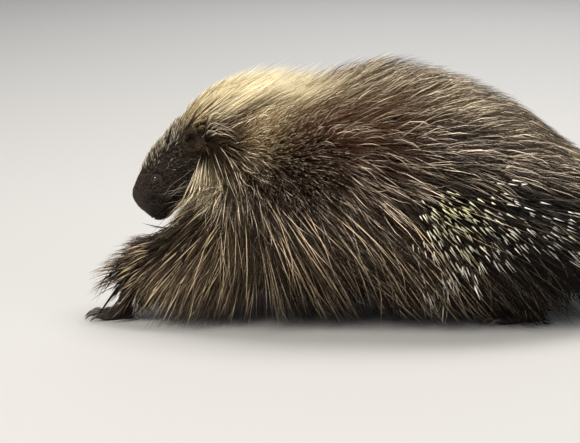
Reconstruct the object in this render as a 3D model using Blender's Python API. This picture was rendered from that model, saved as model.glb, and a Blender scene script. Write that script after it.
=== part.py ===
"""A porcupine as a still, life-size model: head lowered, left forefoot forward, coat down to the ground.

Metres, +Z up. The head points to -X and the animal's left side to -Y. The origin is the middle of the
floor under the whole animal. Every form is a loft of egg-shaped sections along a spine, and the coat is
grown on those forms in tiers of flat, bent locks, with quills over the rump, the flanks and the tail.
"""

import math
import random

import bmesh
import bpy
import numpy as np
from mathutils import Vector
from mathutils.bvhtree import BVHTree

# Driving sizes. Lengths along the body are measured from a working zero over the loins, and
# MIDDLE_X is how far the middle of the whole animal lies behind it.
MIDDLE_X = 0.0887
GAP = 0.0003
CORE_SHARE = 0.40  # the solid core of the coat, as a share of the coat's depth
FLOOR_CLEARANCE = 0.008
SEED = 11

# The head's own frame has its zero between the ears and looks down by HEAD_PITCH degrees.
HEAD_ZERO = Vector((-0.192 - MIDDLE_X, 0.0, 0.201))
HEAD_PITCH = 45.0
HEAD_BACK = -0.015
# Head sections: forward of the zero, pitch in degrees, half width, above the axis, below it, coat depth.
HEAD_SECTIONS = (
    (0.1010, 45, 0.0105, 0.0070, 0.0250, 0.0),
    (0.0970, 45, 0.0170, 0.0145, 0.0330, 0.0),
    (0.0850, 45, 0.0200, 0.0205, 0.0375, 0.0),
    (0.0700, 45, 0.0220, 0.0255, 0.0365, 0.0),
    (0.0550, 45, 0.0265, 0.0295, 0.0365, 0.0),
    (0.0400, 45, 0.0320, 0.0325, 0.0395, 0.0),
    (0.0220, 41, 0.0355, 0.0325, 0.0440, 0.0),
    (0.0050, 33, 0.0360, 0.0345, 0.0460, 0.0),
    (HEAD_BACK, 24, 0.0360, 0.0360, 0.0460, 0.004),
)
MUZZLE_TIP = (0.1025, 0.0, -0.0090)  # forward, to the side, above the axis

# Flesh of the trunk from behind the head to the tip of the tail. Each row is the section's centre x
# (from the working zero) and z, its pitch in degrees, half width, height above, depth below, coat depth.
TRUNK_ROWS = (
    (-0.162, 0.198, 20, 0.0520, 0.0480, 0.0620, 0.030),
    (-0.135, 0.178, 16, 0.0660, 0.0580, 0.0780, 0.044),
    (-0.090, 0.167, 8, 0.0840, 0.0720, 0.0830, 0.050),
    (-0.020, 0.163, 3, 0.0970, 0.0840, 0.0820, 0.054),
    (0.050, 0.162, 0, 0.1040, 0.0870, 0.0820, 0.054),
    (0.120, 0.153, -3, 0.1040, 0.0770, 0.0770, 0.050),
    (0.190, 0.142, -8, 0.0940, 0.0590, 0.0660, 0.046),
    (0.245, 0.133, -13, 0.0700, 0.0420, 0.0470, 0.040),
    (0.285, 0.124, -18, 0.0400, 0.0290, 0.0280, 0.032),
    (0.335, 0.107, -19, 0.0370, 0.0240, 0.0220, 0.028),
    (0.390, 0.088, -18, 0.0310, 0.0190, 0.0170, 0.026),
    (0.440, 0.074, -14, 0.0220, 0.0130, 0.0120, 0.022),
    (0.466, 0.069, -10, 0.0100, 0.0060, 0.0060, 0.014),
)
NECK_END, TORSO_END, TAIL_END = 2, 9, 13  # stations of the trunk, counted from the back of the head

# Limbs from shoulder or hip to wrist or ankle: x from the working zero, distance from the middle
# plane, z, pitch in degrees, half width, thickness ahead, thickness behind, coat depth.
FORELEG_REACHING = (
    (-0.115, 0.052, 0.130, 45, 0.030, 0.034, 0.034, 0.006),
    (-0.165, 0.060, 0.104, 32, 0.026, 0.028, 0.030, 0.014),
    (-0.215, 0.060, 0.082, 28, 0.021, 0.021, 0.023, 0.018),
    (-0.252, 0.056, 0.060, 34, 0.017, 0.016, 0.018, 0.014),
    (-0.274, 0.053, 0.043, 42, 0.015, 0.013, 0.014, 0.003),
)
FORELEG_STANDING = (
    (-0.100, 0.052, 0.130, 75, 0.030, 0.034, 0.034, 0.006),
    (-0.108, 0.062, 0.096, 74, 0.026, 0.028, 0.030, 0.010),
    (-0.122, 0.064, 0.070, 62, 0.021, 0.020, 0.023, 0.010),
    (-0.142, 0.062, 0.043, 58, 0.015, 0.013, 0.015, 0.003),
)
HINDLEG = (
    (0.155, 0.056, 0.125, 110, 0.032, 0.050, 0.048, 0.006),
    (0.168, 0.066, 0.092, 124, 0.027, 0.040, 0.036, 0.008),
    (0.194, 0.068, 0.066, 134, 0.021, 0.024, 0.024, 0.008),
    (0.218, 0.068, 0.044, 128, 0.016, 0.015, 0.018, 0.003),
)
RIGHT_HIND_LEAD = 0.045  # the right hind foot stands this far ahead of the left one

COLOURS = {
    "fur": (0.045, 0.030, 0.024),
    "face": (0.030, 0.021, 0.017),
    "sole": (0.035, 0.028, 0.026),
    "eye": (0.010, 0.008, 0.008),
}


def power_of(value, exponent):
    """value to that power, keeping its sign."""
    return math.copysign(abs(value) ** exponent, value)


def head_point(forward, side, height):
    """The place that lies forward of the head's zero, to its right, and above its axis."""
    pitch = math.radians(HEAD_PITCH)
    ahead = Vector((-math.cos(pitch), 0.0, -math.sin(pitch)))
    above = Vector((-math.sin(pitch), 0.0, math.cos(pitch)))
    return HEAD_ZERO + forward * ahead + height * above + Vector((0.0, side, 0.0))


class Form:
    """A lofted form. Each row is x, y, z, pitch in degrees, half width, above, below, coat depth."""

    def __init__(self, rows, fullness=2.25):
        self.rows = np.array(rows, float)
        self.exponent = 2.0 / fullness

    def row(self, station):
        """The row at a station, whole or between two, on a smooth curve through them all."""
        last = len(self.rows) - 1
        i = max(0, min(int(station), last - 1))
        t = station - i
        here, after = self.rows[i], self.rows[i + 1]
        before = self.rows[i - 1] if i > 0 else 2 * here - after
        beyond = self.rows[i + 2] if i + 2 <= last else 2 * after - here
        curve = 0.5 * (
            2 * here
            + (after - before) * t
            + (2 * before - 5 * here + 4 * after - beyond) * t**2
            + (3 * here - before - 3 * after + beyond) * t**3
        )
        return curve.tolist()

    def place(self, station, angle, share=0.0):
        """A point at that angle from the back line, out by a share of the coat's depth."""
        x, y, z, pitch, half_width, above, below, coat = self.row(station)
        out = share * coat
        tilt = math.radians(pitch)
        up = Vector((-math.sin(tilt), 0.0, math.cos(tilt)))
        cosine, sine = math.cos(angle), math.sin(angle)
        height = (above if cosine > 0 else below) + out
        return (
            Vector((x, y + (half_width + out) * power_of(sine, self.exponent), z))
            + height * power_of(cosine, self.exponent) * up
        )

    def along(self, station):
        """The direction square to a section, towards the later stations."""
        tilt = math.radians(self.row(station)[3])
        square = Vector((math.cos(tilt), 0.0, math.sin(tilt)))
        step = Vector(self.row(station + 0.05)[:3]) - Vector(self.row(station - 0.05)[:3])
        return square if square.dot(step) > 0 else -square

    def solid(self, name, first, last, per_span, sides, share, trims=(0.0, 0.0), tip=None):
        """The closed mesh between two stations, its flat ends cut back by trims, or drawn out to a tip."""
        count = round((last - first) * per_span)
        angles = [2 * math.pi * k / sides for k in range(sides)]
        points = []
        for k in range(count + 1):
            station = first + (last - first) * k / count
            cut = (trims[0] if k == 0 else 0.0) - (trims[1] if k == count else 0.0)
            back = cut * self.along(station)
            points += [self.place(station, angle, share) + back for angle in angles]
        faces = []
        for k in range(count):
            for j in range(sides):
                a, b = k * sides + j, k * sides + (j + 1) % sides
                faces.append((a, b, b + sides, a + sides))
        centres = [
            Vector(self.row(first)[:3]) + trims[0] * self.along(first),
            Vector(self.row(last)[:3]) - trims[1] * self.along(last),
        ]
        if tip is not None:
            centres[tip[0]] = tip[1]
        for centre, start in zip(centres, (0, count * sides)):
            points.append(centre)
            for j in range(sides):
                faces.append((len(points) - 1, start + j, start + (j + 1) % sides))
        return mesh_object(name, points, faces)


def mesh_object(name, points, faces):
    """A new object with those faces turned outwards."""
    mesh = bpy.data.meshes.new(name)
    mesh.from_pydata([tuple(p) for p in points], [], faces)
    shape = bmesh.new()
    shape.from_mesh(mesh)
    bmesh.ops.recalc_face_normals(shape, faces=shape.faces)
    if shape.calc_volume(signed=True) < 0:
        bmesh.ops.reverse_faces(shape, faces=shape.faces)
    shape.to_mesh(mesh)
    shape.free()
    made = bpy.data.objects.new(name, mesh)
    bpy.context.scene.collection.objects.link(made)
    return made


def tube(name, path, radii, sides, flatten=1.0):
    """A closed tube along a path, with a radius for each point, flattened in height if asked."""
    path = [Vector(p) for p in path]
    points, faces = [], []
    across = None
    for i, centre in enumerate(path):
        along = (path[min(i + 1, len(path) - 1)] - path[max(i - 1, 0)]).normalized()
        if across is None:
            across = along.cross(Vector((0, 0, 1)))
            if across.length < 0.2:
                across = along.cross(Vector((1, 0, 0)))
        across = (across - across.dot(along) * along).normalized()
        rise = across.cross(along)
        for j in range(sides):
            turn = 2 * math.pi * j / sides
            points.append(
                centre + radii[i] * (math.cos(turn) * across + flatten * math.sin(turn) * rise)
            )
    for i in range(len(path) - 1):
        for j in range(sides):
            a, b = i * sides + j, i * sides + (j + 1) % sides
            faces.append((a, b, b + sides, a + sides))
    faces.append(tuple(range(sides)))
    faces.append(tuple(range((len(path) - 1) * sides, len(path) * sides)))
    return mesh_object(name, points, faces)


def ball(name, centre, radii, turn=(0.0, 0.0, 0.0), rings=8, segments=12):
    """A closed ellipsoid."""
    bpy.ops.mesh.primitive_uv_sphere_add(
        segments=segments, ring_count=rings, radius=1.0, location=centre, rotation=turn, scale=radii
    )
    made = bpy.context.active_object
    made.name = name
    return made


def swell(made, amount):
    """Moves every corner of an object outwards, and returns it."""
    shape = bmesh.new()
    shape.from_mesh(made.data)
    shape.normal_update()
    for corner in shape.verts:
        corner.co += amount * corner.normal
    shape.to_mesh(made.data)
    shape.free()
    return made


def remove(*objects):
    """Takes helper objects out of the file."""
    for each in objects:
        bpy.data.objects.remove(each)


def largest_body(mesh):
    """Keeps only the closed surface of a mesh that has the largest volume."""
    shape = bmesh.new()
    shape.from_mesh(mesh)
    left = set(shape.faces)
    bodies = []
    while left:
        body, edge_of = set(), [left.pop()]
        while edge_of:
            face = edge_of.pop()
            body.add(face)
            for edge in face.edges:
                for near in edge.link_faces:
                    if near in left:
                        left.discard(near)
                        edge_of.append(near)
        bodies.append(body)

    def volume(body):
        total = 0.0
        for face in body:
            first = face.verts[0].co
            for a, b in zip(face.verts[1:], face.verts[2:]):
                total += first.dot(a.co.cross(b.co)) / 6
        return total

    keep = max(bodies, key=volume)
    bmesh.ops.delete(shape, geom=[f for f in shape.faces if f not in keep], context="FACES")
    shape.to_mesh(mesh)
    shape.free()


def combine(target, others, operation):
    """Joins other objects to target, or cuts them from it, and removes them."""
    group = bpy.data.collections.new(target.name + "_" + operation.lower())
    for other in others:
        group.objects.link(other)
    step = target.modifiers.new(operation.lower(), "BOOLEAN")
    step.operation = operation
    step.operand_type = "COLLECTION"
    step.collection = group
    step.solver = "MANIFOLD"
    bpy.context.view_layer.update()
    graph = bpy.context.evaluated_depsgraph_get()
    made = bpy.data.meshes.new_from_object(target.evaluated_get(graph))
    target.modifiers.clear()
    old = target.data
    target.data = made
    bpy.data.meshes.remove(old)
    remove(*others)
    bpy.data.collections.remove(group)
    largest_body(target.data)
    return target


def finish(node, colour):
    """Gives a node its material and smooth shading with crisp creases."""
    material = bpy.data.materials.get(colour)
    if material is None:
        material = bpy.data.materials.new(colour)
        material.use_nodes = True
        shader = material.node_tree.nodes["Principled BSDF"]
        shader.inputs["Base Color"].default_value = (*COLOURS[colour], 1.0)
        shader.inputs["Roughness"].default_value = 0.15 if colour == "eye" else 0.75
    node.data.materials.clear()
    node.data.materials.append(material)
    node.data.shade_smooth()
    node.data.set_sharp_from_angle(angle=math.radians(50))
    return node


# The forms that everything grows on
def trunk_form(head):
    """Neck, torso and tail in one, from the head's last section on, so that their cut faces match."""
    return Form([head.rows[-1]] + [(x - MIDDLE_X, 0.0, z, *rest) for x, z, *rest in TRUNK_ROWS])


def head_form():
    """The head from the tip of the muzzle to the nape."""
    rows = []
    for forward, *section in HEAD_SECTIONS:
        rows.append((*head_point(forward, 0.0, 0.0), *section))
    return Form(rows)


def limb_form(rows, side, shift=0.0):
    """A leg on the left (side -1) or the right (side 1), moved forward by shift."""
    return Form([(x - MIDDLE_X - shift, side * y, *rest) for x, y, *rest in rows])


def trunk_node(name, form, first, last, per_span, sides, share):
    """A length of the trunk, cut back by half a gap where it meets its neighbours."""
    if last < TAIL_END:
        return form.solid(name, first, last, per_span, sides, share, trims=(GAP / 2, GAP / 2))
    tip = Vector(form.row(last)[:3]) + 0.020 * form.along(last)
    return form.solid(name, first, last, per_span, sides, share, trims=(GAP / 2, 0.0), tip=(1, tip))


# Head
EYE = (0.0600, 0.0202, 0.0082)  # forward, to the side, above the axis
EYE_RADIUS = 0.0052
EAR = (-0.0040, 0.0350, 0.0110)
EAR_RADII = (0.0125, 0.0075, 0.0145)
NOSTRIL = (0.0985, 0.0060, -0.0045)
MOUTH_HEIGHT = -0.0255
MOUTH_CORNER = 0.0720


def eye_centre(side):
    """The middle of an eyeball."""
    forward, out, above = EYE
    return head_point(forward, side * out, above)


def eyelids(side):
    """The rim of the lids: one thick ring that follows the eyeball, longer than it is tall."""
    centre = eye_centre(side)
    out = Vector((-0.25, side * 1.0, 0.25)).normalized()
    ahead = head_point(1.0, 0.0, 0.0) - head_point(0.0, 0.0, 0.0)
    ahead = (ahead - ahead.dot(out) * out).normalized()
    above = out.cross(ahead) * side
    steps = 12
    path = []
    for k in range(steps):
        turn = 2 * math.pi * k / steps
        across = 0.0049 * math.cos(turn) * ahead + 0.0037 * math.sin(turn) * above
        path.append(centre + across + out * (math.sqrt(EYE_RADIUS**2 - across.length**2) + 0.0003))
    return ring(f"lids_{side}", path, centre, 0.0012, 6)


def ring(name, path, centre, radius, sides):
    """A closed ring of round section through the points of path, about a centre."""
    points, faces = [], []
    count = len(path)
    for i, at in enumerate(path):
        along = (path[(i + 1) % count] - path[i - 1]).normalized()
        out = (at - centre).normalized()
        across = along.cross(out).normalized()
        for j in range(sides):
            turn = 2 * math.pi * j / sides
            points.append(at + radius * (math.cos(turn) * out + math.sin(turn) * across))
    for i in range(count):
        for j in range(sides):
            a, b = i * sides + j, i * sides + (j + 1) % sides
            c, d = (i + 1) % count * sides + (j + 1) % sides, (i + 1) % count * sides + j
            faces.append((a, b, c, d))
    return mesh_object(name, points, faces)


def mouth_cutter(surface):
    """A thin groove round the front of the muzzle, from one corner of the mouth to the other."""
    inside = head_point(MOUTH_CORNER, 0.0, MOUTH_HEIGHT)
    path = []
    steps = 10
    for k in range(steps + 1):
        turn = math.radians(95) * (2 * k / steps - 1)
        droop = -0.004 * abs(2 * k / steps - 1) ** 2
        far = head_point(
            MOUTH_CORNER + 0.1 * math.cos(turn), 0.1 * math.sin(turn), MOUTH_HEIGHT + droop
        )
        hit = surface.ray_cast(far, (inside - far).normalized())[0]
        path.append(hit)
    return tube("mouth_cut", path, [0.0008] * len(path), 6)


def head_node(form):
    """The head without its coat: lids, nostrils and the line of the mouth in one skin."""
    tip = (0, head_point(*MUZZLE_TIP))
    last = len(HEAD_SECTIONS) - 1
    head = form.solid("head", 0, last, 2, 20, 1.0, trims=(0.0, GAP / 2), tip=tip)
    surface = BVHTree.FromObject(head, bpy.context.evaluated_depsgraph_get())
    mouth = mouth_cutter(surface)
    combine(head, [eyelids(side) for side in (-1, 1)], "UNION")
    cutters = [mouth]
    for side in (-1, 1):
        forward, out, above = NOSTRIL
        cutters.append(
            ball(
                f"nostril_{side}",
                head_point(forward, side * out, above),
                (0.0028, 0.0016, 0.0022),
                (0.0, math.radians(-35), math.radians(side * 25)),
                rings=6,
                segments=8,
            )
        )
        socket = EYE_RADIUS + GAP
        cutters.append(ball(f"socket_{side}", eye_centre(side), (socket,) * 3, rings=10, segments=14))
    return combine(head, cutters, "DIFFERENCE")


def ear_node(name, side, form):
    """A small round ear: a cup open to the front and the side, its back against the head."""
    forward, out, above = EAR
    centre = head_point(forward, side * out, above)
    turn = (math.radians(side * 18), math.radians(-20), math.radians(side * -28))
    ear = ball(name, centre, EAR_RADII, turn, rings=7, segments=12)
    hollow = [0.78 * r for r in EAR_RADII]
    mouth = centre + Vector((-0.0045, side * 0.0055, 0.0005))
    cup = ball(name + "_cup", mouth, hollow, turn, rings=6, segments=10)
    head = form.solid(name + "_seat", 0, len(HEAD_SECTIONS) - 1, 2, 20, 1.0)
    return combine(ear, [cup, swell(head, 1.5 * GAP)], "DIFFERENCE")


# Feet
FOREFOOT = {
    "length": 0.037,
    "half_width": 0.0160,
    "height": 0.018,
    "toes": 4,
    "toe": 0.012,
    "toe_radius": 0.0050,
    "claw": 0.016,
}
HINDFOOT = {
    "length": 0.062,
    "half_width": 0.0190,
    "height": 0.019,
    "toes": 5,
    "toe": 0.013,
    "toe_radius": 0.0052,
    "claw": 0.017,
}


def foot_node(name, leg, size, turn_out):
    """A plantigrade foot under the end of a leg: pad, toes and long curved claws in one piece."""
    last = len(leg.rows) - 1
    x, y, z = leg.row(last)[:3]
    side = math.copysign(1.0, y)
    ahead = Vector((-1.0, side * turn_out, 0.0)).normalized()
    across = Vector((-ahead.y, ahead.x, 0.0))
    heel = Vector((x, y, 0.0)) - 0.18 * size["length"] * ahead
    height, half_width = size["height"], size["half_width"]
    # Along the foot, how wide and how tall it is, as shares of its size.
    shape = (
        (0.0, 0.55, 0.55),
        (0.12, 0.80, 0.95),
        (0.40, 0.86, 1.0),
        (0.75, 1.0, 0.78),
        (1.0, 0.72, 0.50),
    )
    path = [heel + size["length"] * along * ahead for along, _, _ in shape]
    points, faces, sides = [], [], 10
    for at, (_, wide, tall) in zip(path, shape):
        for j in range(sides):
            turn = 2 * math.pi * j / sides
            rise = 0.62 * height * tall * (max(math.sin(turn), -0.45) + 0.45) - 0.0006
            points.append(at + across * half_width * wide * math.cos(turn) + Vector((0, 0, rise)))
    for i in range(len(path) - 1):
        for j in range(sides):
            a, b = i * sides + j, i * sides + (j + 1) % sides
            faces.append((a, b, b + sides, a + sides))
    faces += [tuple(range(sides)), tuple(range((len(path) - 1) * sides, len(path) * sides))]
    foot = mesh_object(name, points, faces)
    grown = [ankle(name + "_ankle", leg, heel + 0.30 * size["length"] * ahead)]
    for k in range(size["toes"]):
        spread = 2 * k / (size["toes"] - 1) - 1
        root = heel + ahead * size["length"] * (0.86 - 0.14 * spread**2)
        root += across * half_width * 0.74 * spread
        way = (ahead + across * 0.30 * spread).normalized()
        radius = size["toe_radius"]
        lift = Vector((0, 0, radius * 0.86))
        knuckle = root + way * 0.4 * size["toe"] + lift * 1.15
        toe_end = root + way * size["toe"]
        toe = [root - way * 0.006 + lift, knuckle, toe_end + lift * 0.9]
        grown.append(tube(f"{name}_toe_{k}", toe, [radius, radius, radius * 0.72], 6))
        claw = []
        for along in (-0.25, 0.15, 0.6, 1.0):
            arch = 0.95 * radius + 0.0034 * math.sin(3.3 * along) - 0.0036 * along
            claw.append(toe_end + way * (size["claw"] * along) + Vector((0, 0, arch)))
        grown.append(tube(f"{name}_claw_{k}", claw, [0.0022, 0.0022, 0.0015, 0.0004], 4, 1.3))
    combine(foot, grown, "UNION")
    ground = ground_block(name + "_ground", x, y)
    return combine(foot, [ground], "DIFFERENCE")


def ground_block(name, x, y):
    """A block below the floor, which gives a foot its flat sole."""
    bpy.ops.mesh.primitive_cube_add(size=1.0, location=(x, y, -0.05), scale=(0.4, 0.4, 0.1))
    made = bpy.context.active_object
    made.name = name
    return made


def ankle(name, leg, foot_at):
    """The short length from a leg's cut end down into its foot."""
    last = len(leg.rows) - 1
    sides = 10
    angles = [2 * math.pi * j / sides for j in range(sides)]
    top = [leg.place(last, angle, 1.0) for angle in angles]
    centre = Vector(leg.row(last)[:3])
    down = (centre - Vector(leg.row(last - 0.2)[:3])).normalized()
    end = Vector((foot_at.x, foot_at.y, 0.007))
    points = []
    for t in (0.0, 0.5, 1.0):
        shift = (end - centre) * t + down * 0.006 * math.sin(math.pi * t)
        for p in top:
            points.append(centre + GAP * down + shift + (p - centre) * (1.0 - 0.35 * t))
    faces = []
    for i in range(2):
        for j in range(sides):
            a, b = i * sides + j, i * sides + (j + 1) % sides
            faces.append((a, b, b + sides, a + sides))
    faces += [tuple(range(sides)), tuple(range(2 * sides, 3 * sides))]
    return mesh_object(name, points, faces)


def leg_node(name, leg, trunk, share):
    """A leg, cut clear of the trunk that it grows from."""
    node = leg.solid(name, 0, len(leg.rows) - 1, 2, 10, 1.0)
    seats = [
        trunk_node(name + "_neck_seat", trunk, 0, NECK_END, 2, 20, share),
        trunk_node(name + "_torso_seat", trunk, NECK_END, TORSO_END, 2, 20, share),
    ]
    return combine(node, [swell(seat, 1.5 * GAP) for seat in seats], "DIFFERENCE")


# Coat
# How far below the horizontal the hair runs, in degrees, along the flank: x from the working zero, angle.
FLANK_FALL = (
    (-0.24, 118),
    (-0.19, 108),
    (-0.15, 98),
    (-0.05, 80),
    (0.05, 64),
    (0.15, 45),
    (0.25, 32),
    (0.45, 20),
)
# Along a lock, its width and its thickness as shares of the whole, and along a quill, its radius.
LOCK_SHAPE = ((0.0, 0.80, 1.0), (0.38, 1.0, 0.95), (0.78, 0.62, 0.70))
QUILL_SHAPE = ((0.0, 1.0), (0.55, 0.92))


def blend(value, low, high):
    """0 below low, 1 above high, and smooth between."""
    t = min(max((value - low) / (high - low), 0.0), 1.0)
    return t * t * (3 - 2 * t)


def fall_at(x):
    """The hair's angle below the horizontal on the flank at x."""
    at = x + MIDDLE_X
    for (x0, fall0), (x1, fall1) in zip(FLANK_FALL, FLANK_FALL[1:]):
        if at <= x1:
            return fall0 + (fall1 - fall0) * max(at - x0, 0.0) / (x1 - x0)
    return FLANK_FALL[-1][1]


def lie_of_coat(at, normal):
    """Which way the hair lies on the trunk: straight back on top, and down more and more on the flank."""
    flank = blend(abs(normal.y) - 0.6 * normal.z, -0.35, 0.75)
    fall = math.radians(fall_at(at.x) * flank)
    way = Vector((math.cos(fall), 0.12 * math.copysign(1.0, at.y) * (1 - flank), -math.sin(fall)))
    return (way - way.dot(normal) * normal).normalized()


def lie_on_leg(at, normal):
    """On a leg the hair runs down and a little forward."""
    way = Vector((-0.35, 0.0, -1.0))
    return (way - way.dot(normal) * normal).normalized()


class Coat:
    """Grows locks and quills on cores, and keeps what grows on one node clear of every other node."""

    def __init__(self, cores):
        self.dice = random.Random(SEED)
        self.cores = cores
        self.trees = {name: self.tree_of([core]) for name, core in cores.items()}
        self.grown = {name: [] for name in cores}

    @staticmethod
    def tree_of(objects):
        """One search tree over several objects."""
        points, faces = [], []
        for each in objects:
            start = len(points)
            points += [each.matrix_world @ corner.co for corner in each.data.vertices]
            faces += [[start + i for i in face.vertices] for face in each.data.polygons]
        return BVHTree.FromPolygons(points, faces)

    def path(self, tree, at, normal, lie, length, lift, rise, droop, hug, steps):
        """Points from below the skin out along the lie of the coat, as high above the core as rise."""
        way = math.cos(lift) * lie + math.sin(lift) * normal
        points = [at - 0.007 * normal - 0.003 * way]
        here = at.copy()
        for k in range(1, steps + 1):
            here = here + way * length / steps
            near, out, _, _ = tree.find_nearest(here)
            height = (here - near).dot(out)
            wanted = rise * math.sin(0.5 * math.pi * min(1.0, 1.25 * k / steps))
            if height < wanted or hug:
                here = here + (wanted - height) * (1.0 if height < wanted else hug) * out
            here.z = max(here.z, FLOOR_CLEARANCE)
            points.append(here.copy())
            way = (here - points[-2]).normalized() + Vector((0, 0, -droop))
            way.normalize()
        return points, normal

    def lock(self, points, normal, width, thickness, more=0.0):
        """A flat lock of diamond section along a path, thinner and narrower to its tip."""
        corners, faces = [], []
        lengths = [0.0]
        for a, b in zip(points, points[1:]):
            lengths.append(lengths[-1] + (b - a).length)
        for share, wide, thick in LOCK_SHAPE:
            at, along = self.on_path(points, lengths, share)
            across = along.cross(normal).normalized()
            up = across.cross(along)
            half, tall = 0.5 * width * wide + more, 0.5 * thickness * thick + more
            corners += [at - half * across, at + tall * up, at + half * across, at - tall * up]
        for k in range(len(LOCK_SHAPE) - 1):
            for edge, middle in ((0, 1), (0, 3), (2, 1), (2, 3)):
                e, m = 4 * k + edge, 4 * k + middle
                faces += [(e, m, m + 4), (e, m + 4, e + 4)]
        along = (points[-1] - points[-2]).normalized()
        corners.append(points[-1] + more * along)
        last = 4 * (len(LOCK_SHAPE) - 1)
        for j in range(4):
            faces.append((last + j, last + (j + 1) % 4, len(corners) - 1))
        faces += [(0, 1, 3), (1, 2, 3)]
        return corners, faces

    def quill(self, points, radius, more=0.0):
        """A stiff three-sided spine along a path."""
        corners, faces = [], []
        lengths = [0.0]
        for a, b in zip(points, points[1:]):
            lengths.append(lengths[-1] + (b - a).length)
        for share, wide in QUILL_SHAPE:
            at, along = self.on_path(points, lengths, share)
            side = along.cross(Vector((0.0, 1.0, 0.0))).normalized()
            rise = side.cross(along)
            for j in range(3):
                turn = 2 * math.pi * j / 3
                corners.append(at + (radius * wide + more) * (math.cos(turn) * side + math.sin(turn) * rise))
        corners.append(points[-1] + more * (points[-1] - points[-2]).normalized())
        for j in range(3):
            a, b = j, (j + 1) % 3
            faces += [(a, b, b + 3), (a, b + 3, a + 3), (a + 3, b + 3, 6)]
        faces.append((0, 1, 2))
        return corners, faces

    @staticmethod
    def on_path(points, lengths, share):
        """The place and direction at a share of a path's length."""
        goal = share * lengths[-1]
        for k in range(1, len(points)):
            if goal <= lengths[k] or k == len(points) - 1:
                t = (goal - lengths[k - 1]) / (lengths[k] - lengths[k - 1])
                before = points[k] - points[k - 1]
                after = points[min(k + 1, len(points) - 1)] - points[min(k, len(points) - 2)]
                return points[k - 1] + t * before, ((1 - t) * before.normalized() + t * after.normalized())

    def clear(self, name, corners, faces):
        """Whether a growth stays clear of all that belongs to other nodes."""
        tree = BVHTree.FromPolygons(corners, faces)
        return not any(tree.overlap(other) for each, other in self.trees.items() if each != name)

    def grow(self, name, at, normal, lie, length, size, rise, lift, droop, hug, kind="lock"):
        """Tries a growth at a place, then shorter and steeper ones, and keeps the first that is clear."""
        steps = 4 if kind == "lock" else 2
        tree = self.trees[name]
        for shorter, steeper in ((1.0, 0), (0.85, 8), (0.7, 16), (0.85, -10), (0.6, -10), (0.55, 24)):
            angle = math.radians(max(lift + steeper, 6.0))
            sizes = (length * shorter, angle, rise * shorter, droop, hug, steps)
            points, out = self.path(tree, at, normal, lie, *sizes)
            if kind == "lock":
                tested = self.lock(points, out, *size, more=0.0009)
                shape = self.lock(points, out, *size)
            else:
                tested = self.quill(points, *size, more=0.0009)
                shape = self.quill(points, *size)
            if self.clear(name, *tested):
                self.grown[name].append(mesh_object(f"{name}_{kind}_{len(self.grown[name])}", *shape))
                return True
        return False

    def settle(self, name):
        """Fuses what has grown on a node with its core, so that later growths keep clear of both."""
        grown = self.grown[name]
        self.trees[name] = self.tree_of([self.cores[name]] + grown)
        if grown:
            combine(self.cores[name], grown, "UNION")

    def sites(self, form, first, last, tiers, spacing, angles):
        """Roots in staggered tiers on both sides of a form: station and angle, a little out of order."""
        for tier in range(tiers):
            station = first + (last - first) * (tier + 0.5) / tiers
            turns = [0.2 * k for k in range(16)]
            girth = sum(
                (form.place(station, a, CORE_SHARE) - form.place(station, b, CORE_SHARE)).length
                for a, b in zip(turns, turns[1:])
            )
            count = max(2, round(girth * (angles[1] - angles[0]) / 172 / spacing))
            for side in (-1, 1):
                for k in range(count):
                    share = (k + (0.75 if tier % 2 else 0.25)) / count
                    angle = angles[0] + (angles[1] - angles[0]) * share + self.dice.uniform(-3, 3)
                    yield (
                        station + self.dice.uniform(-0.14, 0.14) * (last - first) / tiers,
                        side * math.radians(angle),
                    )

    def cover(self, name, form, sites, size, length, lie=lie_of_coat, lift=12, droop=0.06, hug=0.6):
        """A growth at each site of a form, out to the depth of its coat there.

        A size of width and thickness makes locks, and a size of one radius makes quills.
        """
        kind = "lock" if len(size) == 2 else "quill"
        for station, angle in sites:
            near, normal, _, _ = self.trees[name].find_nearest(form.place(station, angle, CORE_SHARE))
            way = lie(near, normal)
            way = (way + self.dice.uniform(-0.16, 0.16) * normal.cross(way)).normalized()
            coat = form.row(station)[7] * (1 - CORE_SHARE)
            widths = [size[0] * self.dice.uniform(0.85, 1.15), *size[1:]]
            long = length * self.dice.uniform(0.9, 1.12)
            self.grow(name, near, normal, way, long, widths, coat, lift, droop, hug, kind)


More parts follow.
